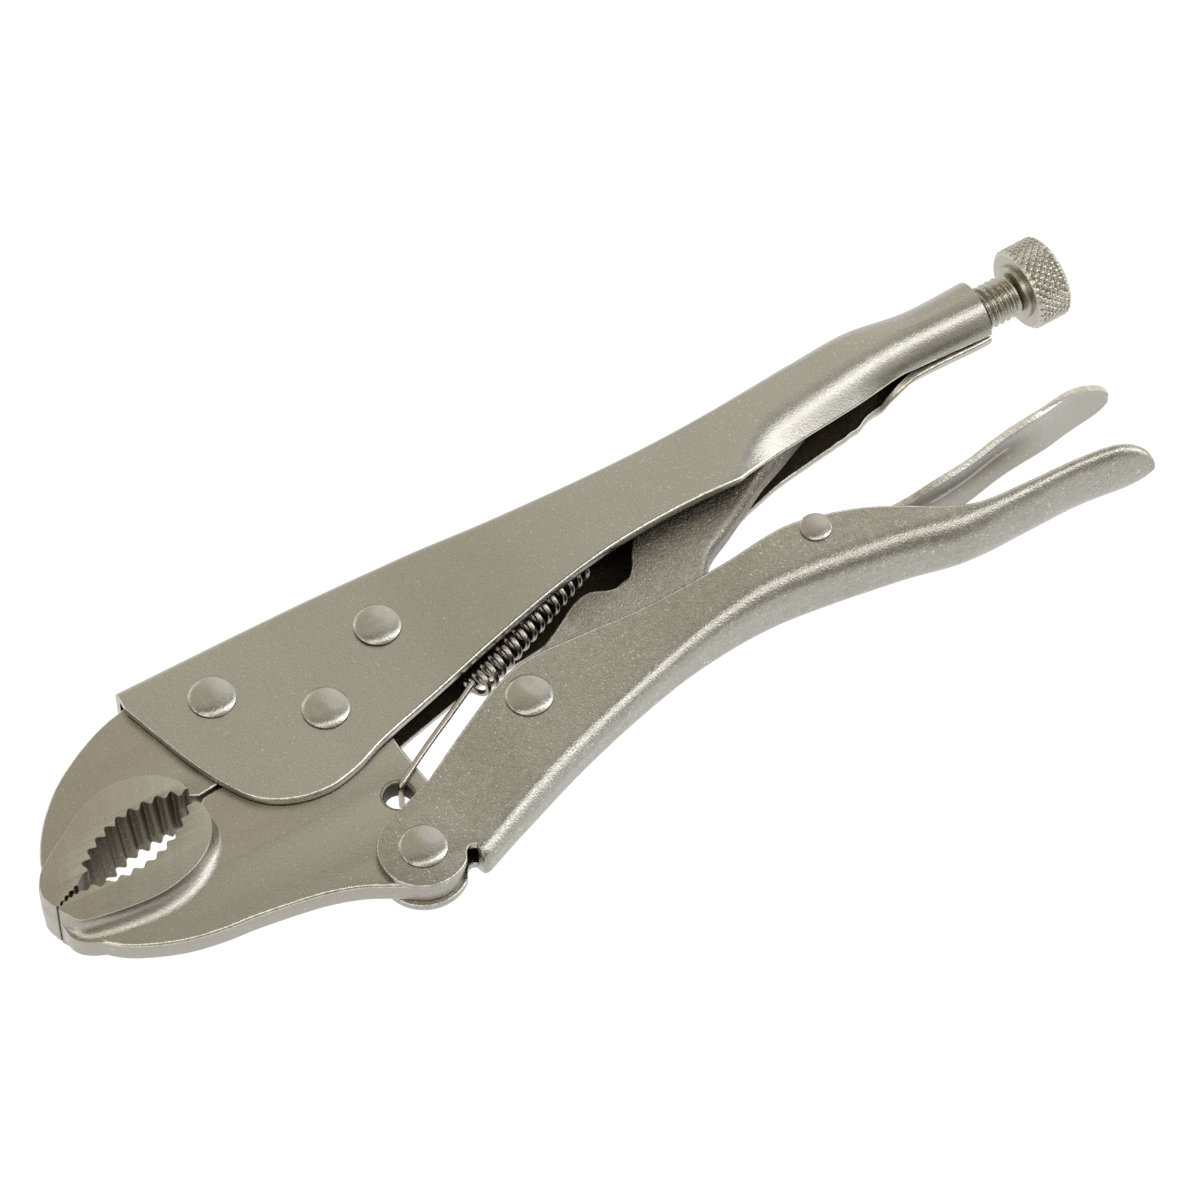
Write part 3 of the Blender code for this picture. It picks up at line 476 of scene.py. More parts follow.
def side_line(crown, half, corner, reach, lip, roll, bend, slant, wall=0.0, floor=0.0):
    """One side of a channel's skin from the crown's middle to the lip: (height, width) points and normals.

    The lip turns under by bend degrees at the radius roll and then runs flat for slant. wall and floor
    move the line in from the outer skin to the inner one.
    """
    turn = math.radians(bend)
    bend_y = lip + slant * math.cos(turn) + roll * math.sin(turn)
    top, side = crown - floor, half - wall
    high, wide, small = max(corner - wall, 0.25), max(reach - wall, 0.25), max(roll - wall, 0.2)
    out = [((top, 0.0), (1.0, 0.0)), ((top, max(0.0, side - wide) * 0.7), (1.0, 0.0))]
    for i in range(CORNER_STEPS + 1):
        a = math.pi / 2 * i / CORNER_STEPS
        out.append(((top - high + high * math.cos(a), side - wide + wide * math.sin(a)),
                    (math.cos(a), math.sin(a))))
    for i in range(1, FLAT_STEPS):
        out.append(((top - high + (bend_y - top + high) * i / FLAT_STEPS, side), (0.0, 1.0)))
    for i in range(BEND_STEPS + 1):
        a = turn * i / BEND_STEPS
        below = 0.01 * i if bend == 0 else 0.0
        out.append(((bend_y - small * math.sin(a) - below, side - small + small * math.cos(a)),
                    (-math.sin(a), math.cos(a))))
    (end_y, end_z), normal = out[-1]
    for i in range(1, SLANT_STEPS + 1):
        run = slant * i / SLANT_STEPS
        out.append(((end_y - run * math.cos(turn), end_z - run * math.sin(turn)), normal))
    return out


def drawn_back(line, fixed, amount):
    """The line with its points after index fixed drawn back along it, so that it ends short by amount."""
    points = np.array([p for p, _ in line])
    length = np.concatenate([[0], np.cumsum(np.linalg.norm(np.diff(points, axis=0), axis=1))])
    start, end = length[fixed], length[-1]
    keep = max(0.2, (end - start - amount) / (end - start))
    goal = np.where(length > start, start + (length - start) * keep, length)
    return [((float(np.interp(g, length, points[:, 0])), float(np.interp(g, length, points[:, 1]))), n)
            for g, (_, n) in zip(goal, line)]


def lip_end(point, normal, wall):
    """The cut edge of the sheet: rounded on the outside, sharper on the inside."""
    ny, nz = normal
    ty, tz = -nz, ny
    turns = [math.radians(18.0 * i) for i in range(6)]
    curve = [(LIP_ROUND * (1 - math.cos(a)), LIP_ROUND * (1 - math.sin(a)), 1) for a in turns]
    curve += [(wall * 0.6, 0.0, 3), (wall - 0.15, 0.0, 3), (wall, 0.15, 3)]
    return [((point[0] - ny * depth - ty * back, point[1] - nz * depth - tz * back), kind)
            for depth, back, kind in curve]


def channel_ring(x, crown, half, corner, near, far=None, wall=SHEET, floor=SHEET, up=1, reach=None):
    """A closed section of the sheet at x. near and far give each side's lip, roll, bend and slant."""
    ring = []
    for sign, lip in ((1, near), (-1, far or near)):
        outer = side_line(crown, half, corner, reach or corner, *lip)
        inner = side_line(crown, half, corner, reach or corner, *lip, wall, floor)
        end = lip_end(*outer[-1], wall)
        outer = drawn_back(outer, CORNER_STEPS + 2, LIP_ROUND + 0.04)
        inner = drawn_back(inner, CORNER_STEPS + 2, 0.2)
        path = [(p, 0) for p, _ in outer] + end + [(p, 2) for p, _ in reversed(inner)]
        ring.append([((x, up * y, sign * z), kind) for (y, z), kind in path])
    return ring[0] + ring[1][::-1]


def channel(rows):
    """Rings from channel_ring as a skin: wear on the lips, and the inner faces in the second material slot, a
    near-black painted shade.
    """
    kinds = [kind for _, kind in rows[0]]
    rings = [[p for p, _ in row] for row in rows]
    shape = Shape()
    size = len(kinds)
    shape.rings(rings, wear=lambda r, k: 1.0 if kinds[k] == 1 else 0.0,
                slots=lambda k: 1 if kinds[k] == 2 and kinds[(k + 1) % size] == 2 else 0)
    return shape


def spread(parts):
    """Stations along X: (start, end, step) runs joined into one list."""
    out = []
    for start, end, step in parts:
        count = max(1, round((end - start) / step))
        out += [start + (end - start) * i / count for i in range(count)]
    return out + [parts[-1][1]]


def upper_handle():
    rows = []
    for x in spread([(-33.8, -20, 0.35), (-20, 10, 0.7), (10, 92, 2.0), (92, 112, 0.7), (112, 161.5, 1.0)]):
        lip = value_at(UPPER_LIP, x)
        near = (lip, value_at(UPPER_ROLL, x), max(0.0, value_at(UPPER_BEND, x)), value_at(UPPER_SLANT, x))
        crinkle = 0.07 * math.sin(x * 1.9) + 0.06 * math.sin(x * 4.7 + 1)
        ragged = share(x, 104, 130) * (1 - share(x, 134, 142)) * crinkle
        burr = 0.7 * math.exp(-((x - BURR_PLACE) / 1.6) ** 2)
        far = (lip - value_at(FAR_HANG, x) + ragged + burr, value_at(FAR_ROLL, x),
               max(0.0, value_at(FAR_BEND, x)), 0.05)
        rows.append(channel_ring(x, value_at(UPPER_CROWN, x), value_at(UPPER_HALF, x),
                                 value_at(UPPER_CORNER, x), near, far))
    shape = channel(rows)
    return make_piece("upper_handle_skin", shape, "upper_handle", ["upper_handle"],
                      [sheet_metal, shaded_inner_metal])


def tail_scale(x, start, end):
    """The share of the full width at x, where an end rounds off between start and end."""
    if x <= start:
        return 1.0
    return max(0.22, math.sqrt(max(0.0, 1.0 - ((x - start) / (end - start)) ** 2)))


def lower_handle():
    rows = []
    for x in spread([(10.8, 13, 0.25), (13, 30, 0.8), (30, 96, 2.0), (96, 164, 1.2), (164, 171, 0.5),
                     (171, 173, 0.2)]):
        back, edge = -value_at(LOWER_BACK, x), -value_at(LOWER_EDGE, x)
        nose = max(0.0, (12.5 - x) / 1.7)
        back -= 1.3 * (1 - math.sqrt(1 - min(1.0, nose) ** 2))
        half = value_at(LOWER_HALF, x) * tail_scale(x, TAIL_START, TAIL_END)
        corner = min(value_at(LOWER_CORNER, x), half - 0.3, back - edge - 0.7)
        reach = min(value_at(LOWER_ROUND, x), half - 0.3)
        close = min(1.0, max(0.0, (x - 168.0) / 3.5))
        floor = SHEET * slope_factor(LOWER_BACK, x)
        floor += (back - edge - 0.15 - floor) * close
        wall = SHEET + (half - 0.6 - SHEET) * close
        rows.append(channel_ring(x, back, half, corner, (edge, 3.0, 0.0, 0.05), wall=wall, floor=floor, up=-1,
                                 reach=reach))
    shape = channel(rows)
    ear = arc(HANDLE_PIVOT, EAR_RADIUS, 118, 312, 60)
    ear += [(8.2, -42.1), (8.6, -41.4), (9.2, -40.9), (9.9, -40.8), (10.5, -41.0), (11.0, -41.4)]
    ear += [(17.0, -38.0), (17.0, -19.9), (13.0, -21.95), (9.5, -24.1)]
    for low, high in ((EAR_INNER, EAR_OUTER), (-EAR_OUTER, -EAR_INNER)):
        shape.plate([ear], low, high, 0.3)
    return make_piece("lower_handle_skin", shape, "lower_handle", ["lower_handle"],
                      [grip_metal, shaded_inner_metal])


def toggle_link():
    rows = []
    for x in spread([(45, 66, 0.8), (66, 84, 0.4), (84, 126.3, 1.3)]):
        rows.append(channel_ring(x, -value_at(LINK_BACK, x), LINK_HALF, LINK_CORNER,
                                 (-value_at(LINK_EDGE, x), 3.0, 0.0, 0.05), wall=LINK_SHEET,
                                 floor=LINK_SHEET * slope_factor(LINK_BACK, x), up=-1))
    shape = channel(rows)
    ear = arc(LINK_PIVOT, LINK_EAR, 105, 268, 40)
    ear += [(48.0, -18.9), (51.0, -17.0), (51.0, -5.0), (46.0, -6.6), (41.0, -9.2)]
    inner, outer = LINK_HALF - LINK_SHEET + 0.02, LINK_HALF - 0.02
    for low, high in ((inner, outer), (-outer, -inner)):
        shape.plate([ear, circle(LINK_PIVOT, HOLE_RADIUS, 32)], low, high, 0.25)

    # painted shade: the link darkens towards the upper handle's lip, where the handle's near cheek shades it,
    # fading out 11 mm below the lip
    def painted_shade_at(x, y, z):
        return 0.72 * (1 - share(value_at(UPPER_LIP, x) - y, -1.0, 11.0)) if x > 52 else 0.0
    return make_piece("toggle_link_skin", shape, "toggle_link", ["toggle_link"],
                      [link_metal, shaded_inner_metal], painted_shade_at)


def gutter_ring(x, back, drop, half, power, sheet, steps=15):
    """A section of bent strip: its middle at back and its edges lower by drop, sharply or softly by power."""
    outer, inner = [], []
    for i in range(-steps, steps + 1):
        u = math.copysign(1 - (1 - abs(i) / steps) ** 1.6, i)
        slope = drop * power * abs(u) ** (power - 1) * math.copysign(1.0, u) / half
        size = math.hypot(1.0, slope)
        y, z = back - drop * abs(u) ** power, half * u
        outer.append((y, z))
        inner.append((y - sheet / size, z - sheet * slope / size))
    near = [(0.5 * (outer[-1][0] + inner[-1][0]), max(outer[-1][1], inner[-1][1]) + 0.05)]
    far = [(0.5 * (outer[0][0] + inner[0][0]), min(outer[0][1], inner[0][1]) - 0.05)]
    return [(x, y, z) for y, z in outer + near + inner[::-1] + far]


def release_lever():
    rows, steps = [], 15
    for x in spread([(76, 100, 1.2), (100, 160, 1.2), (160, 171, 0.6), (171, 174, 0.2)]):
        half = value_at(LEVER_WIDTH, x) * tail_scale(x, LEVER_PAD, LEVER_END)
        back, edge = value_at(LEVER_BACK, x), value_at(LEVER_EDGE, x)
        drop = max(0.2, back - edge - LEVER_SHEET) * (1 - 0.7 * share(x, 156, 170))
        rise = 0.8 * share(x, 118, 130) * (1 - share(x, 150, 168))
        rows.append(gutter_ring(x, back + rise, drop + rise, half, 7 - 4.6 * share(x, 100, 128),
                                LEVER_SHEET, steps))
    shape = Shape()
    edges = (0, 2 * steps, 2 * steps + 1, 2 * steps + 2, 4 * steps + 2, 4 * steps + 3)
    shape.rings(rows, wear=lambda r, k: 1.0 if k in edges else 0.0)

    # painted reflection and shade: a dark brown band on the lever's underside, between X 112 and 160, where
    # it faces the dark inside of the lower handle
    def painted_shade_at(x, y, z):
        middle = 1.0 + 0.14 * (138 - x)
        band = math.exp(-((z - middle) / 3.8) ** 2) * share(x, 112, 120) * (1 - share(x, 145, 160))
        return 0.92 * band if y < value_at(LEVER_BACK, x) - 0.6 else 0.0
    return make_piece("release_lever_skin", shape, None, ["release_lever"], [lever_metal],
                      painted_shade_at)


# ---------------------------------------------------------------- jaws

def waves(line, count, depth):
    """Worn teeth along a line: rounded crests to its right and rounded valleys between them."""
    steps = 8
    path = even_line(line, count * steps)
    teeth = []
    for i, (x, y) in enumerate(path):
        one, two = path[max(i - 1, 0)], path[min(i + 1, len(path) - 1)]
        ax, ay = two[0] - one[0], two[1] - one[1]
        size = math.hypot(ax, ay)
        worn = 0.9 + 0.1 * math.sin(i // steps * 2.3)
        lift = depth * worn * (0.5 - 0.5 * math.cos(2 * math.pi * i / steps))
        teeth.append((x + ay / size * lift, y - ax / size * lift))
    return teeth


def leaned(rings, first, count, lean):
    """Moves count points of each ring, from first on, down by up to lean at the far side."""
    for ring in rings:
        for i in range(count):
            x, y, z = ring[first + i]
            slope = lean * math.sin(math.pi * i / (count - 1)) ** 0.7 * (1 - z / PAD_HALF) / 2
            ring[first + i] = (x + 0.25 * slope, y - slope, z)


def add_pad(shape, back, front, flare, edge_round, worn, lean=0.0, mouth=None):
    """The thick toothed nose: its back wall ends in a hollow that sweeps out to the plate.

    flare is the hollow's width along the back; edge_round and worn are for the back's top edge. mouth is the
    first point and the number of points of the toothed face that leans by lean.
    """
    loop = back + front
    outward = loop_normals(loop)
    flat = np.array(loop, float)
    last = len(back) - 1
    sweep = np.zeros(len(loop))
    sweep[:last + 1] = [value_at(flare, i / last) for i in range(last + 1)]
    edge = np.full(len(loop), PAD_EDGE)
    edge[1:last] = edge_round
    rows = []
    for i in range(4):
        a = math.radians(30.0 * i)
        rows.append((-edge * (1 - math.sin(a)), PAD_HALF - edge * (1 - math.cos(a)), worn if i else 0.0))
    wall = PAD_HALF - edge_round - 0.1
    rows.append((np.zeros(len(loop)), np.full(len(loop), wall), 0.0))
    depth = wall - JAW_HALF + PAD_SINK
    for i in range(1, 13):
        a = math.radians(7.5 * i)
        rows.append((sweep * (1 - math.cos(a)), np.full(len(loop), wall - depth * math.sin(a)), 0.0))
    rings, wear = [], []
    for out, height, rubbed in rows:
        ring = flat + outward * out[:, None]
        rings.append([(x, y, z) for (x, y), z in zip(ring, height)])
        wear.append(rubbed)
    rings += [[(x, y, -z) for x, y, z in ring] for ring in reversed(rings)]
    wear += wear[::-1]
    if lean:
        leaned(rings, *mouth, lean)
    shape.rings(rings, wear=lambda r, k: wear[r], slots=lambda k: 1 if k >= last else 0, cap_slot=2)


def fixed_jaw():
    shape = Shape()
    outline = smooth_line(FIXED_NOSE, 8) + FIXED_HEEL
    outline += arc(JAW_PIVOT, HUB_RADIUS + 0.35, 24, 182, 40) + FIXED_THROAT
    shape.plate([outline], -JAW_HALF, JAW_HALF, 0.45)
    mouth = waves(UPPER_MOUTH, MOUTH_TEETH, TOOTH_DEPTH)
    tip = waves(UPPER_TIP, TIP_TEETH, TIP_DEPTH)
    back = smooth_line(UPPER_PAD_BACK, 6)
    add_pad(shape, back, tip + mouth, FIXED_FLARE, 0.3, 0.0, MOUTH_LEAN,
            (len(back) + len(tip), len(mouth)))
    return make_piece("fixed_jaw_forging", shape, "upper_handle", ["fixed_jaw"],
                      [jaw_metal, tooth_metal, ground_metal])


def movable_jaw():
    shape = Shape()
    outline = smooth_line(MOVABLE_BOTTOM, 8)
    outline += arc(HANDLE_PIVOT, JAW_EAR_RADIUS, -125, 20, 40) + MOVABLE_REAR
    outline += arc(JAW_PIVOT, HUB_RADIUS, -20, 190, 60) + MOVABLE_THROAT
    holes = [circle(JAW_PIVOT, HOLE_RADIUS), circle(HANDLE_PIVOT, HOLE_RADIUS),
             circle(SPRING_HOLE, SPRING_HOLE_RADIUS)]
    # the hole walls take the near-black painted-shade material
    shape.plate([outline] + holes, -JAW_HALF, JAW_HALF, 0.7, 5, hole_slot=3)
    tip = waves(LOWER_TIP, TIP_TEETH, TIP_DEPTH)
    mouth = waves(LOWER_MOUTH, MOUTH_TEETH, TOOTH_DEPTH * 0.7)
    add_pad(shape, smooth_line(LOWER_PAD_BACK, 6), mouth + tip, MOVABLE_FLARE, 0.14, 0.4)
    return make_piece("movable_jaw_forging", shape, "movable_jaw", ["movable_jaw"],
                      [jaw_metal, tooth_metal, ground_metal, shaded_inner_metal])


# ---------------------------------------------------------------- turned and coiled parts

def screw_place(along, radius, angle):
    """A point on the screw: along its axis, out from it, and round it."""
    rise = math.radians(SCREW_RISE)
    y, z = radius * math.cos(angle), radius * math.sin(angle)
    return (SCREW_POINT[0] + along * math.cos(rise) - y * math.sin(rise),
            SCREW_POINT[1] + along * math.sin(rise) + y * math.cos(rise), z)


def turned(rows):
    """Rings round the screw's axis from rows of (place along it, radius)."""
    return [[screw_place(a, r, 2 * math.pi * k / len(row)) for k, (a, r) in enumerate(row)] for row in rows]


def adjusting_screw():
    shape = Shape()
    sides = 72
    along = ROD_START
    rows = [[(along, 3.4)] * sides]
    while along < ROD_END:
        row = []
        for k in range(sides):
            phase = (along / THREAD_PITCH - k / sides) % 1.0
            ridge = 1.0 - abs(2.0 * phase - 1.0)
            depth = THREAD_DEPTH * min(1.0, max(0.0, (1.0 - ridge) * 1.35 - 0.12))
            fade = share(along, ROD_START, -21.5) * (1 - share(along, 15.6, ROD_END))
            row.append((along, (THREAD_RADIUS - depth) * (0.92 + 0.08 * fade)))
        rows.append(row)
        along += THREAD_PITCH / 14
    for place, radius in ((16.95, 5.2), (17.05, 5.75), (17.3, 5.9), (18.3, 5.9), (18.45, 6.1), (18.5, 7.0),
                          (18.42, 7.15), (18.1, 7.3), (18.02, 7.5), (18.0, 8.0)):
        rows.append([(place, radius)] * sides)
    shape.rings(turned(rows), caps=(True, False))
    sides = KNURLS_ROUND * KNURL_CELLS
    steps = 44
    rows = [[(18.0, 7.9)] * sides, [(18.02, 8.1)] * sides, [(18.25, 8.35)] * sides]
    wear = [0.0, 0.5, 0.6]
    pitch = 2 * math.pi * HEAD_RADIUS / KNURLS_ROUND
    for i in range(steps + 1):
        a = KNURL_START + (KNURL_END - KNURL_START) * i / steps
        row = []
        for k in range(sides):
            turn = k / KNURL_CELLS
            lift = (a - KNURL_START) / pitch
            one = abs(2 * ((turn + lift) % 1.0) - 1)
            two = abs(2 * ((turn - lift) % 1.0) - 1)
            cut = 0.5 * max(0.0, 1.0 - min(one, two) * 1.9)
            row.append((a, HEAD_RADIUS - 0.02 - cut))
        rows.append(row)
        wear.append(0.25)
    rows += [[(25.85, 8.35)] * sides, [(26.05, 8.1)] * sides, [(26.1, 7.6)] * sides, [(26.1, 6.0)] * sides,
             [(26.0, 5.6)] * sides, [(26.0, 0.6)] * sides]
    wear += [0.6, 0.4, 0.0, 0.0, 0.0, 0.0]
    shape.rings(turned(rows), wear=lambda r, k: wear[r])
    return make_piece("adjusting_screw_turning", shape, "adjusting_screw", ["adjusting_screw"],
                      [screw_metal])


def add_wire(shape, path, radius, sides=12):
    path = np.array(path, float)
    along = np.gradient(path, axis=0)
    along /= np.linalg.norm(along, axis=1)[:, None]
    side = np.cross(along[0], (0.3, 0.5, 0.8))
    rings = []
    for point, t in zip(path, along):
        side = side - t * np.dot(side, t)
        side /= np.linalg.norm(side)
        other = np.cross(t, side)
        rings.append([tuple(point + radius * (math.cos(a) * side + math.sin(a) * other))
                      for a in (2 * math.pi * k / sides for k in range(sides))])
    shape.rings(rings)


def return_spring():
    shape = Shape()
    start, end = np.array((*SPRING_START, 0.0)), np.array((*SPRING_END, 0.0))
    along = (end - start) / np.linalg.norm(end - start)
    side, across = np.array((-along[1], along[0], 0.0)), np.array((0.0, 0.0, 1.0))
    steps = 24
    coil = []
    for i in range(COIL_TURNS * steps + 1):
        a = 2 * math.pi * i / steps
        coil.append(tuple(start + (end - start) * i / (COIL_TURNS * steps)
                          + COIL_RADIUS * (math.cos(a) * across + math.sin(a) * side)))
    hx, hy = SPRING_HOLE[0] + 1.3, SPRING_HOLE[1] + 1.3
    over = JAW_HALF + WIRE_RADIUS + 0.2
    leg = [(hx, hy, -over - 0.6), (hx, hy, -1.0), (hx, hy, over - 1.3), (hx + 0.35, hy + 0.2, over - 0.35),
           (hx + 1.2, hy + 0.8, over), (9.5, -18.9, over), (14.0, -16.2, over), (20.0, -12.7, over - 0.3),
           (25.0, -9.6, COIL_RADIUS + 0.1)]
    hook = [(63.0, 8.4, COIL_RADIUS), (65.8, 9.4, 1.9), (67.3, 10.0, 1.2), (67.6, 10.0, -1.2),
            (67.6, 10.0, -2.2)]
    path = smooth_line(leg, 6)[:-1] + coil + smooth_line(hook, 5)[1:]
    add_wire(shape, path, WIRE_RADIUS)
    return make_piece("return_spring_coil", shape, None, ["return_spring"], [spring_metal])


def rivet(name, node, centre, half, shank, head, dome, body, seed):
    """A closed rivet: a shank and two low domed heads with faint hammer dimples; half is where they seat."""
    shape = Shape()
    sides = 48
    seat = half + 0.06
    cap = [(head - 0.18, seat), (head, seat + 0.14), (head, seat + 0.34)]
    for i in range(1, 13):
        t = i / 12
        r = (head - 0.02) * (1 - t)
        rise = dome * (1 - (r / head) ** 2) ** 0.65
        cap.append((max(r, 0.05), seat + 0.34 + (dome - 0.34) / dome * rise))
    profile = [(r, -z) for r, z in reversed(cap)] + [(shank, -seat), (shank, seat)] + cap
    rng = np.random.default_rng(seed)
    bumps = [(rng.uniform(-0.5, 0.5) * head, rng.uniform(-0.5, 0.5) * head, rng.uniform(0.8, 1.6),
              rng.uniform(-0.16, 0.05)) for _ in range(5)]
    rings = []
    for r, z in profile:
        ring = []
        for k in range(sides):
            a = 2 * math.pi * k / sides
            x, y = r * math.cos(a), r * math.sin(a)
            dent = sum(h * math.exp(-((x - bx) ** 2 + (y - by) ** 2) / s ** 2) for bx, by, s, h in bumps)
            dent *= share(head * 0.92 - r, 0.0, 1.2) * (abs(z) > seat + 0.3)
            ring.append((centre[0] + x, centre[1] + y, z + math.copysign(dent, z) if dent > 0
                         else z - math.copysign(-dent, z)))
        rings.append(ring)
    shape.rings(rings)
    return make_piece(name, shape, body, [node], [rivet_metal])


def drill(piece, centre, radius):
    """Cuts a round hole along Z through a finished piece."""
    cutter = Shape()
    cutter.rings([[(x, y, z) for x, y in circle(centre, radius, 32)] for z in (-12.0, 12.0)])
    mesh = bpy.data.meshes.new("bore")
    mesh.from_pydata([tuple(p) for p in to_world(cutter.points)], [], cutter.faces)
    bm = bmesh.new()
    bm.from_mesh(mesh)
    bmesh.ops.recalc_face_normals(bm, faces=bm.faces)
    bm.to_mesh(mesh)
    bm.free()
    bore = bpy.data.objects.new("bore", mesh)
    bpy.context.scene.collection.objects.link(bore)
    step = piece.modifiers.new("bore", "BOOLEAN")
    step.operation, step.solver, step.object = "DIFFERENCE", "EXACT", bore
    bpy.context.view_layer.update()
    shape = bpy.context.evaluated_depsgraph_get()
    result = bpy.data.meshes.new_from_object(piece.evaluated_get(shape))
    near = kdtree.KDTree(len(piece.data.vertices))
    for i, vertex in enumerate(piece.data.vertices):
        near.insert(vertex.co, i)
    near.balance()
    # carry the wear and the painted shade over to the cut mesh
    for name in ("wear", "painted_shade"):
        old = piece.data.attributes[name].data
        if name in result.attributes:
            result.attributes.remove(result.attributes[name])
        fresh = result.attributes.new(name, "FLOAT", "POINT")
        fresh.data.foreach_set("value", [old[near.find(v.co)[1]].value for v in result.vertices])
    piece.modifiers.clear()
    piece.data = result
    bpy.data.objects.remove(bore)


upper_handle()
fixed_jaw()
movable_jaw()
lower_handle()
toggle_link()
lever = release_lever()
drill(lever, LEVER_PIVOT, LEVER_HOLE_RADIUS)
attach(lever, "release_lever")
adjusting_screw()
spring = return_spring()
tuple(to_world((*SPRING_END, 0.0)))
tuple(to_world((*SPRING_HOLE, 0.0)))
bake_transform(spring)
# each rivet seats on the half width of its sheet near the outer edge of its head
big = (RIVET_SHANK, RIVET_HEAD, RIVET_DOME)
small = (LEVER_SHANK, LEVER_HEAD, LEVER_DOME)
for name, node, centre, half, sizes, body, seed in (
        ("front_rivet", "fixed_jaw_front_rivet", FRONT_RIVET, 4.7, big, "upper_handle", 3),
        ("rear_rivet", "fixed_jaw_rear_rivet", REAR_RIVET, value_at(UPPER_HALF, 22.4), big,
         "upper_handle", 5),
        ("pivot_rivet", "jaw_pivot_rivet", JAW_PIVOT, value_at(UPPER_HALF, RIVET_HEAD), big,
         "upper_handle", 8),
        ("handle_rivet", "lower_handle_pivot_rivet", HANDLE_PIVOT, EAR_OUTER, big, "lower_handle", 13),
        ("link_rivet", "toggle_link_rivet", LINK_PIVOT, value_at(LOWER_HALF, 40.3), big, "lower_handle", 21),
        ("lever_rivet", "release_lever_rivet", LEVER_PIVOT, value_at(LOWER_HALF, 106.5), small,
         "lower_handle", 34)):
    rivet(name, node, centre, half, *sizes, body, seed)


# ---------------------------------------------------------------- stage, light and camera

# the surroundings: their brightest value; places from back to front, the light there and how warm it is;
# what full warmth takes from red, green and blue; and the tint from left to right
STUDIO_TOP = 2.2
STUDIO_STOPS = [(0.0, 0.78, 1.0), (0.13, 0.84, 1.0), (0.30, 0.82, 1.0), (0.42, 0.60, 0.8), (0.51, 0.28, 0.5),
                (0.57, 0.50, 0.1), (0.64, 2.1, 0.0), (0.74, 2.1, 0.0), (0.83, 0.60, 0.4), (0.92, 0.45, 0.6),
                (1.0, 0.45, 0.6)]
STUDIO_WARM = (0.0, 0.04, 0.13)
STUDIO_SIDE = [(0.50, (0.90, 0.87, 0.80)), (0.78, (1.46, 1.48, 1.53))]
FLOOR_HALF = 4.0
FLOOR_DROP = 0.0004
FLOOR_SHADE = 0.08
FLOOR_GLOW = 1.02


def stage_floor():
    mesh = bpy.data.meshes.new("floor")
    r, z = FLOOR_HALF, -FLOOR_DROP
    mesh.from_pydata([(-r, -r, z), (r, -r, z), (r, r, z), (-r, r, z)], [], [(0, 1, 2, 3)])
    floor = bpy.data.objects.new("floor", mesh)
    bpy.context.scene.collection.objects.link(floor)
    material = bpy.data.materials.new("floor_white")
    material.use_nodes = True
    shader = material.node_tree.nodes["Principled BSDF"]
    shader.inputs["Base Color"].default_value = (FLOOR_SHADE, FLOOR_SHADE, FLOOR_SHADE, 1.0)
    shader.inputs["Roughness"].default_value = 0.9
    shader.inputs["Specular IOR Level"].default_value = 0.1
    shader.inputs["Emission Color"].default_value = (1.0, 1.0, 1.0, 1.0)
    shader.inputs["Emission Strength"].default_value = FLOOR_GLOW
    mesh.materials.append(material)


def softbox(name, direction, distance, size, power, centre=(0.0, 0.0, 0.01)):
    """A rectangular area light that faces the pliers from a direction."""
    light = bpy.data.lights.new(name, "AREA")
    light.shape = "RECTANGLE"
    light.size, light.size_y = size
    light.energy = power
    lamp = bpy.data.objects.new(name, light)
    bpy.context.scene.collection.objects.link(lamp)
    way = Vector(direction).normalized()
    lamp.location = Vector(centre) + way * distance
    lamp.rotation_euler = way.to_track_quat("Z", "Y").to_euler()


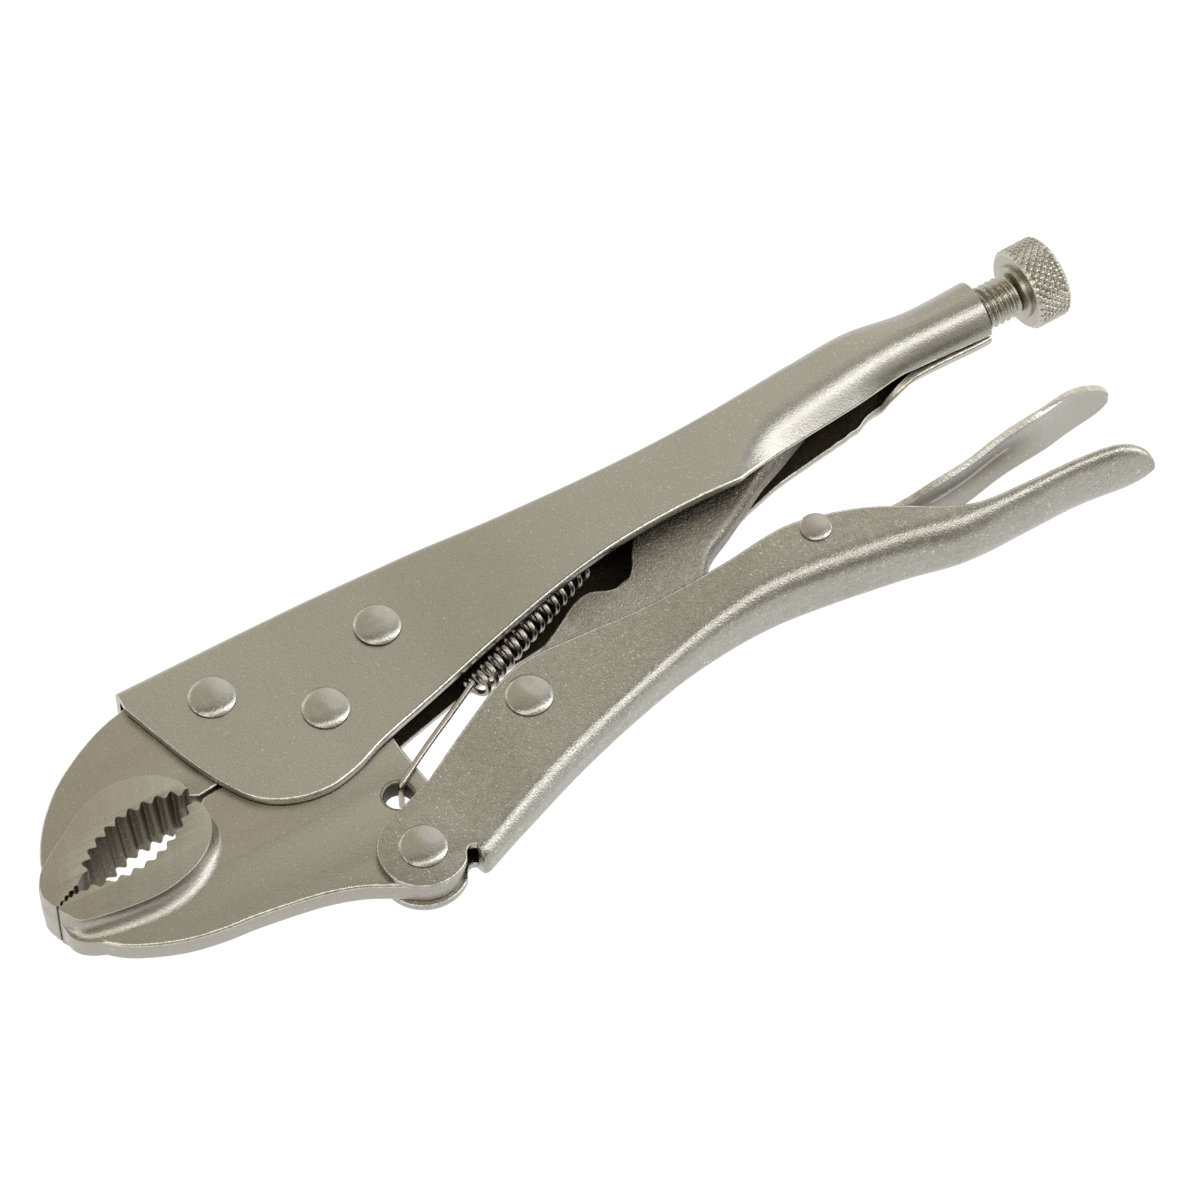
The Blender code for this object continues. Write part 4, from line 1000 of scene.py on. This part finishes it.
def studio_world():
    """Surroundings with a dark band and a bright one from back to front, and a tint from left to right."""
    world = bpy.data.worlds.new("studio")
    bpy.context.scene.world = world
    world.use_nodes = True
    tree = world.node_tree
    nodes, links = tree.nodes, tree.links
    back = nodes["Background"]
    way = nodes.new("ShaderNodeTexCoord")
    parts = nodes.new("ShaderNodeSeparateXYZ")
    links.new(way.outputs["Generated"], parts.inputs["Vector"])
    across = nodes.new("ShaderNodeMapRange")
    across.inputs["From Min"].default_value = 1.0
    across.inputs["From Max"].default_value = -1.0
    links.new(parts.outputs["Y"], across.inputs["Value"])
    ramp = nodes.new("ShaderNodeValToRGB")
    ramp.color_ramp.interpolation = "EASE"
    while len(ramp.color_ramp.elements) < len(STUDIO_STOPS):
        ramp.color_ramp.elements.new(0.5)
    for element, (place, value, warm) in zip(ramp.color_ramp.elements, STUDIO_STOPS):
        element.position = place
        element.color = (*(value / STUDIO_TOP * (1.0 - warm * part) for part in STUDIO_WARM), 1.0)
    links.new(across.outputs["Result"], ramp.inputs["Fac"])
    right = nodes.new("ShaderNodeValToRGB")
    right.color_ramp.interpolation = "EASE"
    for element, (place, value) in zip(right.color_ramp.elements, STUDIO_SIDE):
        element.position = place
        element.color = (*value, 1.0)
    beside = nodes.new("ShaderNodeMapRange")
    beside.inputs["From Min"].default_value = -1.0
    links.new(parts.outputs["X"], beside.inputs["Value"])
    links.new(beside.outputs["Result"], right.inputs["Fac"])
    total = nodes.new("ShaderNodeVectorMath")
    total.operation = "MULTIPLY"
    links.new(ramp.outputs["Color"], total.inputs[0])
    links.new(right.outputs["Color"], total.inputs[1])
    links.new(total.outputs["Vector"], back.inputs["Color"])
    back.inputs["Strength"].default_value = STUDIO_TOP


def photo_camera():
    """The long lens' view, in millimetres from the jaw pivot on the middle plane."""
    place = to_world((-238.7, -530.0, 917.3))
    forward = Vector((0.2718, 0.4804, -0.8339)).normalized()
    right = Vector((0.8704, -0.4924, 0.0)).normalized()
    upward = right.cross(forward).normalized()
    data = bpy.data.cameras.new("camera")
    data.sensor_width = 36.0
    data.lens = 166.98
    data.clip_start, data.clip_end = 0.05, 50.0
    camera = bpy.data.objects.new("camera", data)
    bpy.context.scene.collection.objects.link(camera)
    turn = Matrix((right, upward, -forward)).transposed().to_4x4()
    camera.matrix_world = Matrix.Translation(place) @ turn
    bpy.context.scene.camera = camera


stage_floor()
studio_world()
softbox("key", (0.1, -0.5, 0.85), 1.3, (1.4, 0.25), 0.6)
softbox("back", (-0.3, 0.9, 0.2), 1.4, (1.2, 0.3), 1.5)
softbox("side", (0.9, -0.1, 0.3), 1.4, (0.8, 0.3), 1.5)
softbox("nose", (-0.95, 0.0, 0.35), 1.4, (0.8, 0.3), 1.5)
photo_camera()
bpy.context.scene.view_settings.view_transform = "Standard"
